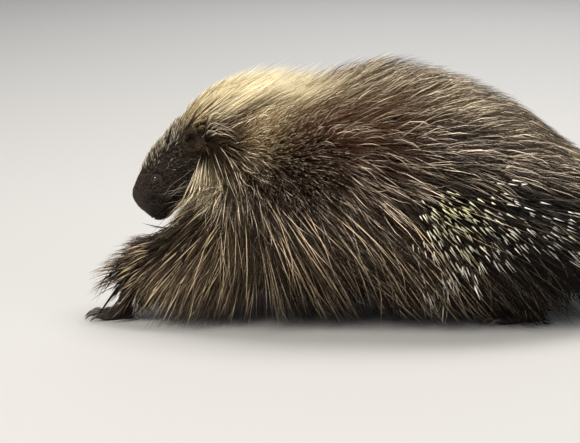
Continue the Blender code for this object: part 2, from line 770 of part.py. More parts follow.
def build():
    """Makes every node."""
    for each in list(bpy.data.objects):
        bpy.data.objects.remove(each)
    head = head_form()
    trunk = trunk_form(head)
    cores = {
        "head": head_node(head),
        "neck": trunk_node("neck", trunk, 0, NECK_END, 2, 20, CORE_SHARE),
        "torso": trunk_node("torso", trunk, NECK_END, TORSO_END, 2, 20, CORE_SHARE),
        "tail": trunk_node("tail", trunk, TORSO_END, TAIL_END, 2, 12, CORE_SHARE),
    }
    legs = {}
    for word, side in (("left", -1), ("right", 1)):
        cores[f"ear_{word}"] = ear_node(f"ear_{word}", side, head)
        cores[f"eye_{word}"] = ball(f"eye_{word}", eye_centre(side), (EYE_RADIUS,) * 3, rings=8, segments=12)
        foreleg = limb_form(FORELEG_REACHING if side < 0 else FORELEG_STANDING, side)
        hindleg = limb_form(HINDLEG, side, RIGHT_HIND_LEAD if side > 0 else 0.0)
        legs[f"foreleg_{word}"], legs[f"hindleg_{word}"] = foreleg, hindleg
        cores[f"foreleg_{word}"] = leg_node(f"foreleg_{word}", foreleg, trunk, CORE_SHARE)
        cores[f"hindleg_{word}"] = leg_node(f"hindleg_{word}", hindleg, trunk, CORE_SHARE)
        cores[f"forefoot_{word}"] = foot_node(f"forefoot_{word}", foreleg, FOREFOOT, 0.10)
        cores[f"hindfoot_{word}"] = foot_node(f"hindfoot_{word}", hindleg, HINDFOOT, 0.16)
    bpy.context.view_layer.update()
    coat = Coat(cores)
    crown = coat.sites(head, 6.2, 7.7, 2, 0.016, (0, 50))
    coat.cover("head", head, crown, (0.019, 0.0035), 0.044, lift=7, hug=0.9)
    cheeks = coat.sites(head, 6.7, 7.8, 2, 0.020, (60, 125))
    coat.cover("head", head, cheeks, (0.020, 0.0035), 0.046)
    coat.settle("head")
    crest = coat.sites(trunk, 0.5, 1.9, 2, 0.024, (0, 70))
    coat.cover("neck", trunk, crest, (0.028, 0.0045), 0.085, lift=17, hug=0.0)
    throat = coat.sites(trunk, 0.5, 1.9, 2, 0.028, (75, 175))
    coat.cover("neck", trunk, throat, (0.032, 0.0045), 0.080)
    coat.settle("neck")
    withers = coat.sites(trunk, 2.2, 3.8, 2, 0.032, (0, 70))
    coat.cover("torso", trunk, withers, (0.034, 0.0050), 0.105, lift=17, hug=0.3)
    shoulders = coat.sites(trunk, 2.2, 3.8, 2, 0.034, (70, 88))
    coat.cover("torso", trunk, shoulders, (0.036, 0.0050), 0.105)
    back = coat.sites(trunk, 3.8, 8.6, 5, 0.038, (0, 88))
    coat.cover("torso", trunk, back, (0.042, 0.0050), 0.105)
    skirt = coat.sites(trunk, 2.2, 8.6, 16, 0.055, (88, 112))
    coat.cover("torso", trunk, skirt, (0.036, 0.0050), 0.140, lift=10, droop=0.30, hug=0.0)
    rump_quills = coat.sites(trunk, 5.4, 8.8, 6, 0.027, (50, 102))
    coat.cover("torso", trunk, rump_quills, (0.0014,), 0.066, lift=26, droop=0.0, hug=0.0)
    coat.settle("torso")
    brush = coat.sites(trunk, 9.4, 12.6, 4, 0.031, (0, 150))
    coat.cover("tail", trunk, brush, (0.031, 0.0040), 0.062)
    tail_quills = coat.sites(trunk, 9.4, 12.4, 3, 0.030, (20, 90))
    coat.cover("tail", trunk, tail_quills, (0.0013,), 0.050, lift=26, droop=0.0, hug=0.0)
    coat.settle("tail")
    reaching, standing = legs["foreleg_left"], legs["foreleg_right"]
    lobe = coat.sites(reaching, 1.6, 3.4, 3, 0.028, (0, 150))
    coat.cover("foreleg_left", reaching, lobe, (0.029, 0.0040), 0.060, lie_on_leg, hug=0.3)
    curtain = coat.sites(reaching, 0.4, 2.6, 4, 0.034, (70, 125))
    sizes = (0.030, 0.0045)
    coat.cover("foreleg_left", reaching, curtain, sizes, 0.090, lie_on_leg, droop=0.30, hug=0.0)
    coat.settle("foreleg_left")
    sleeve = coat.sites(standing, 0.3, 2.2, 3, 0.026, (20, 150))
    sizes = (0.028, 0.0045)
    coat.cover("foreleg_right", standing, sleeve, sizes, 0.070, lie_on_leg, droop=0.2, hug=0.0)
    coat.settle("foreleg_right")
    body = bpy.data.collections.new("porcupine")
    bpy.context.scene.collection.children.link(body)
    finish_of = {"head": "face", "ear": "face", "eye": "eye", "forefoot": "sole", "hindfoot": "sole"}
    for name, node in cores.items():
        finish(node, finish_of.get(name.split("_")[0], "fur"))
        for holder in list(node.users_collection):
            holder.objects.unlink(node)
        body.objects.link(node)


build()
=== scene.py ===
import math

import bmesh
import bpy
import numpy as np
from mathutils import Euler, Matrix, Vector
from mathutils.bvhtree import BVHTree
from mathutils.kdtree import KDTree


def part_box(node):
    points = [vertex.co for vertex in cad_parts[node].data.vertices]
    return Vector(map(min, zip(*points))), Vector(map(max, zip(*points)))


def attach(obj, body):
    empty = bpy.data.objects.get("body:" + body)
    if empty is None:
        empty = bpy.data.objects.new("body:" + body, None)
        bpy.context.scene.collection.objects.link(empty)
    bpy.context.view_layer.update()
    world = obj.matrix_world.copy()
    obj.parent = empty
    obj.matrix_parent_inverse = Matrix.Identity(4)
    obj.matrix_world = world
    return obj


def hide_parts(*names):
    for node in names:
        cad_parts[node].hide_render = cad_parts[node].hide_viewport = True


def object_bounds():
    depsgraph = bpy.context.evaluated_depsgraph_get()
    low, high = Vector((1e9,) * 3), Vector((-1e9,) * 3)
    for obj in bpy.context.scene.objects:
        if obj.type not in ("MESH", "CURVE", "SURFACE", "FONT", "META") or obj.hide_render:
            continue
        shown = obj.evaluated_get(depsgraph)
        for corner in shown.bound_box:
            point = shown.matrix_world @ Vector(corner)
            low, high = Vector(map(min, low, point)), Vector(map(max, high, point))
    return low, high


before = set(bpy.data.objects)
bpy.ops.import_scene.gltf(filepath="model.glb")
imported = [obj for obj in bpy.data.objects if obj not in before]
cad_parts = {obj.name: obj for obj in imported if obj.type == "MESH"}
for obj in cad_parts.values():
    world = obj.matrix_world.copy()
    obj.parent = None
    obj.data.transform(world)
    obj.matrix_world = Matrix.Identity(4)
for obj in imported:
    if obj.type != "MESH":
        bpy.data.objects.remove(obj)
cad_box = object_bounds()

# Studio
# The pale floor that the model stands on, four soft lights and the camera. None of these is
# part of the porcupine. The camera looks at its left side, a little from above.
MIDDLE_X = 0.0887  # how far the middle of the animal lies behind the working zero over its loins
LOOK_AT = Vector((-0.078 - MIDDLE_X, -0.060, 0.120))
LIT_AT = Vector((-0.05, 0, 0.12))
ELEVATION = math.radians(12.0)
DISTANCE = 2.9
LENS, SENSOR = 150.0, 36.0


def placed(name, data):
    """A new object in the scene."""
    made = bpy.data.objects.new(name, data)
    bpy.context.scene.collection.objects.link(made)
    return made


def fill(tree, node, sockets):
    """Gives each named socket of a node its number or colour, or the output that it is linked to."""
    for key, value in sockets.items():
        if isinstance(value, bpy.types.NodeSocket):
            tree.links.new(value, node.inputs[key])
        else:
            node.inputs[key].default_value = value


def new_material(name, sockets):
    """A new material, its node tree and its shader."""
    made = bpy.data.materials.new(name)
    made.use_nodes = True
    shader = made.node_tree.nodes["Principled BSDF"]
    fill(made.node_tree, shader, sockets)
    return made, made.node_tree, shader


camera = placed("camera", bpy.data.cameras.new("camera"))
camera.data.lens, camera.data.sensor_width = LENS, SENSOR
back = Vector((0.0, -math.cos(ELEVATION), math.sin(ELEVATION)))
camera.location = LOOK_AT + DISTANCE * back
camera.rotation_euler = (-back).to_track_quat("-Z", "Y").to_euler()
bpy.context.scene.camera = camera
bpy.context.scene.view_settings.view_transform = "Standard"

# Each square lamp: its place, its size, its power and its colour. All face the middle of the animal.
for name, place, size, power, colour in (
    ("key_light", (-1.6, -2.0, 2.8), 1.4, 145.0, (1.0, 0.96, 0.90)),
    ("top_light", (0.6, 0.8, 3.0), 1.6, 125.0, (1.0, 0.98, 0.95)),
    ("side_light", (2.6, -1.6, 1.4), 1.8, 22.0, (0.92, 0.96, 1.0)),
    ("rear_light", (0.4, 3.0, 1.6), 2.0, 25.0, (0.95, 0.97, 1.0)),
):
    lamp = placed(name, bpy.data.lights.new(name, "AREA"))
    lamp.data.size, lamp.data.energy, lamp.data.color = size, power, colour
    lamp.location = place
    lamp.rotation_euler = (LIT_AT - Vector(place)).to_track_quat("-Z", "Y").to_euler()
sky = bpy.data.worlds.new("sky")
sky.use_nodes = True
fill(sky.node_tree, sky.node_tree.nodes["Background"], {"Color": (0.86, 0.90, 1.0, 1.0), "Strength": 0.30})
bpy.context.scene.world = sky

sheet = bpy.data.meshes.new("floor")
sheet.from_pydata([(-9, -6, 0), (9, -6, 0), (9, 12, 0), (-9, 12, 0)], [], [(0, 1, 2, 3)])
paint = new_material("floor_paint", {"Base Color": (0.38, 0.37, 0.355, 1.0), "Roughness": 0.85})[0]
sheet.materials.append(paint)
floor = placed("floor", sheet)

# Skin
# The hide of the whole animal in one piece, from the muzzle to the tip of the tail, with the ears, legs,
# toes and soles. Each part is a loft through egg-shaped sections, the same ones as in the solids, and all
# are melted into one surface, which then gets lids, nostrils, mouth, philtrum and the cups of the ears.
HEAD_ZERO = np.array((-0.192 - MIDDLE_X, 0.0, 0.201))
HEAD_AHEAD = np.array((-math.cos(math.radians(45)), 0.0, -math.sin(math.radians(45))))
HEAD_ABOVE = np.array((-math.sin(math.radians(45)), 0.0, math.cos(math.radians(45))))
# Forward of the zero between the ears, pitch in degrees, half width, above the axis, below it.
HEAD_SECTIONS = (
    (0.1010, 45, 0.0105, 0.0070, 0.0250),
    (0.0970, 45, 0.0170, 0.0145, 0.0330),
    (0.0850, 45, 0.0200, 0.0205, 0.0375),
    (0.0700, 45, 0.0220, 0.0255, 0.0365),
    (0.0550, 45, 0.0265, 0.0295, 0.0365),
    (0.0400, 45, 0.0320, 0.0325, 0.0395),
    (0.0220, 41, 0.0355, 0.0325, 0.0440),
    (0.0050, 33, 0.0360, 0.0345, 0.0460),
    (-0.015, 24, 0.0360, 0.0360, 0.0460),
)
MUZZLE_TIP = (0.1025, 0.0, -0.0090)
# Section centre from the working zero, its height, pitch, half width, above, below, and coat depth.
TRUNK_SECTIONS = (
    (-0.162, 0.198, 20, 0.0520, 0.0480, 0.0620, 0.030),
    (-0.135, 0.178, 16, 0.0660, 0.0580, 0.0780, 0.044),
    (-0.090, 0.167, 8, 0.0840, 0.0720, 0.0830, 0.050),
    (-0.020, 0.163, 3, 0.0970, 0.0840, 0.0820, 0.054),
    (0.050, 0.162, 0, 0.1040, 0.0870, 0.0820, 0.054),
    (0.120, 0.153, -3, 0.1040, 0.0770, 0.0770, 0.050),
    (0.190, 0.142, -8, 0.0940, 0.0590, 0.0660, 0.046),
    (0.245, 0.133, -13, 0.0700, 0.0420, 0.0470, 0.040),
    (0.285, 0.124, -18, 0.0400, 0.0290, 0.0280, 0.032),
    (0.335, 0.107, -19, 0.0370, 0.0240, 0.0220, 0.028),
    (0.390, 0.088, -18, 0.0310, 0.0190, 0.0170, 0.026),
    (0.440, 0.074, -14, 0.0220, 0.0130, 0.0120, 0.022),
    (0.466, 0.069, -10, 0.0100, 0.0060, 0.0060, 0.014),
)
SPINE = np.array([(row[0], row[1]) for row in TRUNK_SECTIONS])
# From shoulder or hip to wrist or ankle: x, distance from the middle, z, pitch, half width, ahead, behind.
FORELEG_REACHING = (
    (-0.115, 0.052, 0.130, 45, 0.030, 0.034, 0.034),
    (-0.165, 0.060, 0.104, 32, 0.026, 0.028, 0.030),
    (-0.215, 0.060, 0.082, 28, 0.021, 0.021, 0.023),
    (-0.252, 0.056, 0.060, 34, 0.017, 0.016, 0.018),
    (-0.274, 0.053, 0.043, 42, 0.015, 0.013, 0.014),
)
FORELEG_STANDING = (
    (-0.100, 0.052, 0.130, 75, 0.030, 0.034, 0.034),
    (-0.108, 0.062, 0.096, 74, 0.026, 0.028, 0.030),
    (-0.122, 0.064, 0.070, 62, 0.021, 0.020, 0.023),
    (-0.142, 0.062, 0.043, 58, 0.015, 0.013, 0.015),
)
HINDLEG = (
    (0.155, 0.056, 0.125, 110, 0.032, 0.050, 0.048),
    (0.168, 0.066, 0.092, 124, 0.027, 0.040, 0.036),
    (0.194, 0.068, 0.066, 134, 0.021, 0.024, 0.024),
    (0.218, 0.068, 0.044, 128, 0.016, 0.015, 0.018),
)
RIGHT_HIND_LEAD = 0.045
# Along a foot, from the heel, its width and its height, all as shares of the whole.
FOOT_SHAPE = ((0.0, 0.55, 0.5), (0.12, 0.8, 0.9), (0.4, 0.86, 1.0), (0.75, 1.0, 0.78), (1.0, 0.72, 0.5))
EAR_CENTRE = (-0.0040, 0.0350, 0.0110)
EAR_RADII = (0.0125, 0.0075, 0.0145)
# The middle of an eyeball and its radius, and in the head's frame which way it looks and which way is up.
EYE_AT, EYE_BALL = np.array((0.0600, 0.0202, 0.0082)), 0.0052
EYE_OUT, EYE_UP = np.array((0.0, 0.943, 0.333)), np.array((0.0, -0.333, 0.943))
EYE_OPENING = (0.0043, 0.0031)  # half its width and half its height
LID_BALL, LID_EDGE = 0.0056, 0.0045  # the lids lie on a ball larger than the eye, as far as this edge
# Half the distance between the nostrils and their height, half the length and width of each, and its depth.
NOSTRIL_AT, NOSTRIL_SIZE, NOSTRIL_DEPTH = (0.0060, -0.0045), (0.0030, 0.0016), 0.0032
MOUTH_BEND = 0.072  # the line of the mouth is an arc round this place forward of the head's zero
MOUTH_DEPTH, LIP_HEIGHT, CUP_DEPTH = 0.0016, 0.0005, 0.0068
SOLE_HEIGHT = 0.004  # the skin is bare below this
# A foot's length, half width and height, how many toes it has, their length and half thickness, how far
# the foot turns out, and the length of its claws.
FOOT_SIZES = ("length", "half_width", "height", "toes", "toe", "thick", "turn_out", "claw")
FORE_SIZES = dict(zip(FOOT_SIZES, (0.037, 0.0160, 0.018, 4, 0.012, 0.0050, 0.10, 0.016)))
HIND_SIZES = dict(zip(FOOT_SIZES, (0.062, 0.0190, 0.019, 5, 0.013, 0.0052, 0.16, 0.017)))
SKIN_GRAIN = 0.0022  # the spacing of the melted surface before the head is made finer
EGG_POWER = 2 / 2.25  # sections are a little squarer than an ellipse


def ear_turn(side):
    """How the left (side -1) or right (side 1) ear is turned on the head."""
    return np.array(Euler([math.radians(angle) for angle in (side * 18, -20, side * -28)]).to_matrix())


def ease(value, low, high):
    """0 below low, 1 above high, and smooth between."""
    t = np.clip((value - low) / (high - low), 0.0, 1.0)
    return t * t * (3 - 2 * t)


def spot(first, middle, reach, second=0.0, second_middle=0.0, second_reach=1.0):
    """1 in the middle of a band or an oval patch, and fading to 0 around it."""
    return np.exp(-(((first - middle) / reach) ** 2) - ((second - second_middle) / second_reach) ** 2)


def smooth_rows(rows, per_span):
    """The rows of a table with more between them, on a smooth curve through all."""
    rows = np.array(rows, float)
    first, last = 2 * rows[0] - rows[1], 2 * rows[-1] - rows[-2]
    wide = np.vstack([first, rows, last])
    made = []
    for i in range(len(rows) - 1):
        before, here, after, beyond = wide[i : i + 4]
        for t in np.arange(per_span) / per_span:
            bend = (2 * before - 5 * here + 4 * after - beyond) * t**2
            twist = (3 * here - before - 3 * after + beyond) * t**3
            made.append(0.5 * (2 * here + (after - before) * t + bend + twist))
    made.append(rows[-1])
    return np.array(made)


def walls(rings, sides):
    """The four-sided faces between rings of corners that follow each other."""
    faces = []
    for i in range(rings - 1):
        for j in range(sides):
            a, b = i * sides + j, i * sides + (j + 1) % sides
            faces.append((a, b, b + sides, a + sides))
    return faces


def loft(rows, sides, tip=None, first_tip=None):
    """Corners and faces of a closed form through rows of x, y, z, pitch, half width, above, below."""
    turn = 2 * math.pi * np.arange(sides) / sides
    across = np.sign(np.sin(turn)) * np.abs(np.sin(turn)) ** EGG_POWER
    over = np.sign(np.cos(turn)) * np.abs(np.cos(turn)) ** EGG_POWER
    corners, faces = [], walls(len(rows), sides)
    for x, y, z, pitch, half_width, above, below, *_ in rows:
        tilt = math.radians(pitch)
        up = np.array((-math.sin(tilt), 0.0, math.cos(tilt)))
        height = np.where(over > 0, above, below) * over
        ring = np.array((x, y, z)) + height[:, None] * up
        ring[:, 1] += half_width * across
        corners.append(ring)
    ends = [rows[0][:3] if first_tip is None else first_tip, rows[-1][:3] if tip is None else tip]
    corners = np.vstack(corners + [np.array(ends)])
    for end, start in ((len(corners) - 2, 0), (len(corners) - 1, (len(rows) - 1) * sides)):
        faces += [(end, start + j, start + (j + 1) % sides) for j in range(sides)]
    return corners, faces


def tube(path, radii, sides, flat=1.0):
    """Corners and faces of a closed tube along a path."""
    path = [Vector(p) for p in path]
    corners, faces, across = [], walls(len(path), sides), None
    for i, centre in enumerate(path):
        along = (path[min(i + 1, len(path) - 1)] - path[max(i - 1, 0)]).normalized()
        across = along.cross(Vector((0, 0, 1))) if across is None else across
        across = (across - across.dot(along) * along).normalized()
        rise = across.cross(along)
        for j in range(sides):
            turn = 2 * math.pi * j / sides
            out = math.cos(turn) * across + flat * math.sin(turn) * rise
            corners.append(centre + float(radii[i]) * out)
    faces += [tuple(range(sides)), tuple(range((len(path) - 1) * sides, len(path) * sides))]
    return np.array(corners), faces


def egg(centre, radii, turn, rings=12, sides=20):
    """Corners and faces of an ellipsoid."""
    rows = []
    for i in range(1, rings):
        down = math.pi * i / rings
        for j in range(sides):
            about = 2 * math.pi * j / sides
            rows.append((math.sin(down) * math.cos(about), math.sin(down) * math.sin(about), math.cos(down)))
    rows += [(0, 0, 1), (0, 0, -1)]
    corners = (np.array(rows) * np.array(radii)) @ turn.T + np.array(centre)
    faces = walls(rings - 1, sides)
    top, bottom, last = len(rows) - 2, len(rows) - 1, (rings - 2) * sides
    for j in range(sides):
        faces += [(top, j, (j + 1) % sides), (bottom, last + j, last + (j + 1) % sides)]
    return corners, faces


def joined(forms):
    """Several forms as one list of corners and one of faces, and how many faces each form has."""
    corners, faces, counts = [], [], []
    for points, polygons in forms:
        start = sum(len(c) for c in corners)
        corners.append(points)
        faces += [tuple(start + i for i in polygon) for polygon in polygons]
        counts.append(len(polygons))
    return np.vstack(corners), faces, counts


def head_place(forward, side, above):
    """The point forward of the head's zero, to its right, and above its axis."""
    return HEAD_ZERO + forward * HEAD_AHEAD + above * HEAD_ABOVE + np.array((0.0, side, 0.0))


def limb_rows(table, side, lead=0.0):
    """A leg's rows on the left (side -1) or right (side 1), in the model's own frame."""
    return [(x - MIDDLE_X - lead, side * y, *rest) for x, y, *rest in table]


def foot_frame(limb, sizes):
    """The heel, the way ahead and the way across of the foot under a leg."""
    x, y = limb[-1][:2]
    ahead = np.array((-1.0, math.copysign(sizes["turn_out"], y), 0.0))
    ahead /= np.linalg.norm(ahead)
    return np.array((x, y, 0.0)) - 0.18 * sizes["length"] * ahead, ahead, np.array((-ahead[1], ahead[0], 0.0))


def toes_of(foot, sizes):
    """For each toe of a foot: its root, the way it points, and its end."""
    heel, ahead, across = foot
    for k in range(sizes["toes"]):
        spread = 2 * k / (sizes["toes"] - 1) - 1
        root = heel + ahead * sizes["length"] * (0.86 - 0.14 * spread**2)
        root = root + across * sizes["half_width"] * 0.74 * spread
        way = ahead + across * 0.30 * spread
        way /= np.linalg.norm(way)
        yield root, way, root + way * sizes["toe"]


def foot_forms(limb, foot, sizes):
    """The pad, toes and ankle of a foot, as forms to be melted into the skin."""
    heel, ahead, across = foot
    rows = []
    for along, wide, tall in FOOT_SHAPE:
        at = heel + along * sizes["length"] * ahead
        height = 0.62 * sizes["height"] * tall
        rows.append((at[0], at[1], 0.40 * height, 0, sizes["half_width"] * wide, height, 0.46 * height))
    forms = [loft(smooth_rows(rows, 3), 24)]
    thick = sizes["thick"]
    for root, way, end in toes_of(foot, sizes):
        rise = np.array((0, 0, 0.86 * thick))
        path = [root - 0.006 * way + rise, root + 0.4 * sizes["toe"] * way + 1.15 * rise, end + 0.9 * rise]
        forms.append(tube(path, [thick, thick, 0.70 * thick], 12))
    over = heel + 0.30 * sizes["length"] * ahead
    x, y, z, pitch, half_width, before, behind = limb[-1]
    ankle = [limb[-2], limb[-1]]
    for t in (0.5, 1.0):
        shrink = 1 - 0.3 * t
        at = np.array((x, y, z)) * (1 - t) + np.array((over[0], over[1], 0.009)) * t
        ankle.append((*at, pitch * (1 - 0.3 * t), half_width * shrink, before * shrink, behind * shrink))
    forms.append(loft(smooth_rows(ankle, 3), 20))
    return forms


head_rows = [(*head_place(forward, 0.0, 0.0), *rest) for forward, *rest in HEAD_SECTIONS]
trunk_rows = [(*head_rows[-1], 0.004)] + [(x - MIDDLE_X, 0.0, *rest) for x, *rest in TRUNK_SECTIONS]
tail_tip = (TRUNK_SECTIONS[-1][0] - MIDDLE_X + 0.019, 0.0, TRUNK_SECTIONS[-1][1] - 0.003)
limbs = {
    "foreleg_left": limb_rows(FORELEG_REACHING, -1),
    "foreleg_right": limb_rows(FORELEG_STANDING, 1),
    "hindleg_left": limb_rows(HINDLEG, -1),
    "hindleg_right": limb_rows(HINDLEG, 1, RIGHT_HIND_LEAD),
}
foot_sizes = {name: FORE_SIZES if "fore" in name else HIND_SIZES for name in limbs}
feet = {name: foot_frame(rows, foot_sizes[name]) for name, rows in limbs.items()}
parts = [
    ("head", loft(smooth_rows(head_rows, 5), 56, first_tip=head_place(*MUZZLE_TIP))),
    ("trunk", loft(smooth_rows(trunk_rows, 6), 64, tip=tail_tip)),
]
for side in (-1, 1):
    forward, out, above = EAR_CENTRE
    parts.append(("ear", egg(head_place(forward, side * out, above), EAR_RADII, ear_turn(side))))
for name, rows in limbs.items():
    parts.append((name, loft(smooth_rows(rows, 4), 28)))
    parts += [(name + "_foot", form) for form in foot_forms(rows, feet[name], foot_sizes[name])]

PART_NAMES = sorted({name for name, _ in parts})
corners, faces, counts = joined(form for _, form in parts)
part_of_face = np.repeat([PART_NAMES.index(name) for name, _ in parts], counts)
forms_tree = BVHTree.FromPolygons([Vector(c) for c in corners], faces)
rough = bpy.data.meshes.new("rough_skin")
rough.from_pydata(corners.tolist(), [], faces)
melting = bmesh.new()
melting.from_mesh(rough)
bmesh.ops.recalc_face_normals(melting, faces=melting.faces)
melting.to_mesh(rough)
melting.free()
skin = placed("skin", rough)
melt = skin.modifiers.new("melt", "REMESH")
melt.mode, melt.voxel_size, melt.adaptivity = "VOXEL", SKIN_GRAIN, 0.0
soften = skin.modifiers.new("soften", "SMOOTH")
soften.factor, soften.iterations = 0.5, 5
bpy.context.view_layer.update()
melted = bpy.data.meshes.new_from_object(skin.evaluated_get(bpy.context.evaluated_depsgraph_get()))
skin.modifiers.clear()
skin.data = melted
melted.name = "skin"


def read_points(mesh):
    """The corners of a mesh as an array."""
    flat = np.empty(3 * len(mesh.vertices))
    mesh.vertices.foreach_get("co", flat)
    return flat.reshape(-1, 3)


def in_head(points):
    """Forward, out to the side and above, in the head's own frame; both sides alike."""
    away = points - HEAD_ZERO
    return away @ HEAD_AHEAD, np.abs(away[:, 1]), away @ HEAD_ABOVE


def refine(mesh, chosen):
    """Halves the faces whose corners all pass the test."""
    shape = bmesh.new()
    shape.from_mesh(mesh)
    keep = chosen(np.array([v.co for v in shape.verts]))
    edges = [e for e in shape.edges if keep[e.verts[0].index] and keep[e.verts[1].index]]
    bmesh.ops.subdivide_edges(shape, edges=edges, cuts=1, use_grid_fill=True, smooth=0.0)
    shape.to_mesh(mesh)
    shape.free()


def on_face(points):
    """The head in front of the ears."""
    forward, out, above = in_head(points)
    return (forward > 0.012) & (out < 0.06) & (above > -0.06)


def near_features(points):
    """Round the eyes and over the front of the muzzle."""
    forward, out, above = in_head(points)
    eye = np.sqrt((forward - EYE_AT[0]) ** 2 + (out - EYE_AT[1]) ** 2 + (above - EYE_AT[2]) ** 2) < 0.013
    return eye | ((forward > 0.068) & (above < 0.015) & (above > -0.040) & (forward < 0.12))


refine(skin.data, on_face)
refine(skin.data, near_features)

# The lids, nose, mouth and ear cups, pressed into the fine surface.
points = read_points(skin.data)
forward, out, above = in_head(points)
side_of = np.where(points[:, 1] < 0, -1.0, 1.0)
away = np.stack([forward, out, above], 1) - EYE_AT
ahead_of_eye, over_eye, from_eye = away[:, 0], away @ EYE_UP, away @ EYE_OUT
reach = np.hypot(ahead_of_eye, over_eye)
opening = np.hypot(ahead_of_eye / EYE_OPENING[0], over_eye / EYE_OPENING[1])
ball_height = np.sqrt(np.maximum(EYE_BALL**2 - reach**2, 0.0))
lid_height = 0.0006 + np.sqrt(LID_BALL**2 - np.minimum(reach, LID_EDGE) ** 2)
lid_height = lid_height - 0.85 * np.maximum(reach - LID_EDGE, 0)
near_eye = (np.abs(from_eye) < 0.012) & (reach < 0.016)
inside = (1 - ease(opening, 0.80, 1.0)) * near_eye
lid = ease(opening, 0.80, 1.0) * (1 - ease(opening, 1.45, 2.5)) * near_eye
fresh = from_eye * (1 - inside - lid) + inside * (ball_height - 0.0014) + lid * lid_height
brow = 0.0011 * spot(over_eye, 0.0075, 0.0026, ahead_of_eye, 0.0, 0.007) * near_eye
moved = (fresh - from_eye + brow)[:, None] * EYE_OUT
eye_mask = np.clip(inside + lid, 0, 1)

# The pits of the nostrils, each a slanted comma, with a raised rim, and the groove between them.
nose_side, nose_up = out - NOSTRIL_AT[0], above - NOSTRIL_AT[1]
slant = 0.6 * nose_side + 0.8 * nose_up, 0.8 * nose_side - 0.6 * nose_up
pit = np.hypot(slant[0] / NOSTRIL_SIZE[0], slant[1] / NOSTRIL_SIZE[1])
at_front = ease(forward, 0.089, 0.095) * (forward < 0.12)
moved[:, 0] += at_front * (-NOSTRIL_DEPTH * (1 - ease(pit, 0.55, 1.15)) + 0.0006 * spot(pit, 1.7, 0.5))
groove = spot(out, 0.0, 0.0008) * ease(above, -0.0255, -0.021) * (1 - ease(above, -0.008, -0.003))
moved[:, 0] -= 0.0010 * at_front * groove

# The line of the mouth, pressed in between two slightly raised lips.
round_mouth = np.degrees(np.arctan2(out, forward - MOUTH_BEND))
from_mouth = above - (-0.0255 - 0.003 * (round_mouth / 95) ** 2)
has_mouth = (1 - ease(round_mouth, 80, 97)) * ease(forward, 0.066, 0.072) * (np.abs(from_mouth) < 0.01)
lips = LIP_HEIGHT * spot(np.abs(from_mouth), 0.0024, 0.0012)
press = has_mouth * (lips - MOUTH_DEPTH * spot(from_mouth, 0.0, 0.0008))
inward = np.stack([forward - MOUTH_BEND, out, np.zeros_like(out)], 1)
inward /= np.maximum(np.linalg.norm(inward, axis=1), 1e-6)[:, None]
moved += press[:, None] * inward
change = moved[:, 0:1] * HEAD_AHEAD + moved[:, 2:3] * HEAD_ABOVE
change[:, 1] += side_of * moved[:, 1]
points = points + change

# The cup of each ear opens forward and to the side.
for side in (-1, 1):
    turn = ear_turn(side)
    local = (points - head_place(EAR_CENTRE[0], side * EAR_CENTRE[1], EAR_CENTRE[2])) @ turn
    in_cup = np.hypot(local[:, 0] / EAR_RADII[0], local[:, 2] / EAR_RADII[2])
    outer = (side * local[:, 1] > 0.0015) & (in_cup < 1.0) & (side * local[:, 1] < 0.012)
    depth = CUP_DEPTH * (1 - ease(in_cup, 0.35, 0.80)) * outer
    points -= depth[:, None] * (side * turn[:, 1])

points[:, 2] = np.maximum(points[:, 2], 0.0003)
skin.data.vertices.foreach_set("co", points.ravel())
skin.data.shade_smooth()
skin.data.update()


def mark_of(points):
    """The animal's markings: how blond, how warm brown and how black it is at each place."""
    x, y, z = points[:, 0] + MIDDLE_X, np.abs(points[:, 1]), points[:, 2]
    angle = np.degrees(np.arctan2(y, z - np.interp(x, *SPINE.T)))
    forward, out, above = in_head(points)
    face = ease(forward, 0.004, 0.020) * (z < 0.26) * ease(above, -0.030, -0.020)
    crest = (1 - ease(angle, 42, 60)) * ease(x, -0.225, -0.195) * (1 - 0.92 * ease(x, -0.18, -0.05))
    fan = spot(x, -0.178, 0.028) * ease(angle, 50, 75) * ease(z, 0.09, 0.15) * 0.25
    saddle = spot(angle, 50, 20) * ease(x, -0.15, -0.11) * (1 - ease(x, -0.01, 0.07))
    gold = spot(x, -0.124, 0.024, angle, 60, 11)
    rump = ease(x, 0.03, 0.10) * (1 - ease(x + 0.08 * ease(angle, 92, 106), 0.25, 0.32)) * ease(angle, 60, 84)
    rump = rump * (1 - 0.8 * ease(angle, 112, 132))
    patch = spot(x, 0.255, 0.022, angle, 42, 20)
    return {
        "blond": np.clip((crest + fan + gold + 0.8 * patch) * (1 - face), 0, 1),
        "warm": np.clip(saddle * (1 - gold) + 0.5 * patch, 0, 1) * (1 - face),
        "black": np.clip(0.85 * rump + 0.9 * face, 0, 1),
    }


def write_values(mesh, name, values):
    """A named number at each corner of a mesh."""
    layer = mesh.attributes.new(name, "FLOAT", "POINT")
    layer.data.foreach_set("value", np.asarray(values, np.float32).ravel())


for name, values in mark_of(points).items():
    write_values(skin.data, name, values)
# The bare skin of the nose and round the eyes. The hide there is painted lighter and greyer than the fur:
# partly the skin's own colour, partly a painted sheen of light on the muzzle.
bare_and_sheen = ease(forward, 0.0895, 0.0955) * (forward < 0.12) * ease(above, -0.020, -0.015)
bare_and_sheen = bare_and_sheen * (1 - ease(above, 0.004, 0.008)) + eye_mask * (1 - ease(opening, 1.3, 2.0))
write_values(skin.data, "bare_and_sheen", np.clip(bare_and_sheen, 0, 1))
write_values(skin.data, "sole", (points[:, 2] < SOLE_HEIGHT).astype(float))
# A painted rim light: the top of the muzzle is painted a lighter reddish brown where the light catches its
# edge.
muzzle_top = 0.12 * ease(forward, 0.055, 0.075) * ease(above, 0.004, 0.014) * (forward < 0.12)
write_values(skin.data, "muzzle_rim_light", muzzle_top)


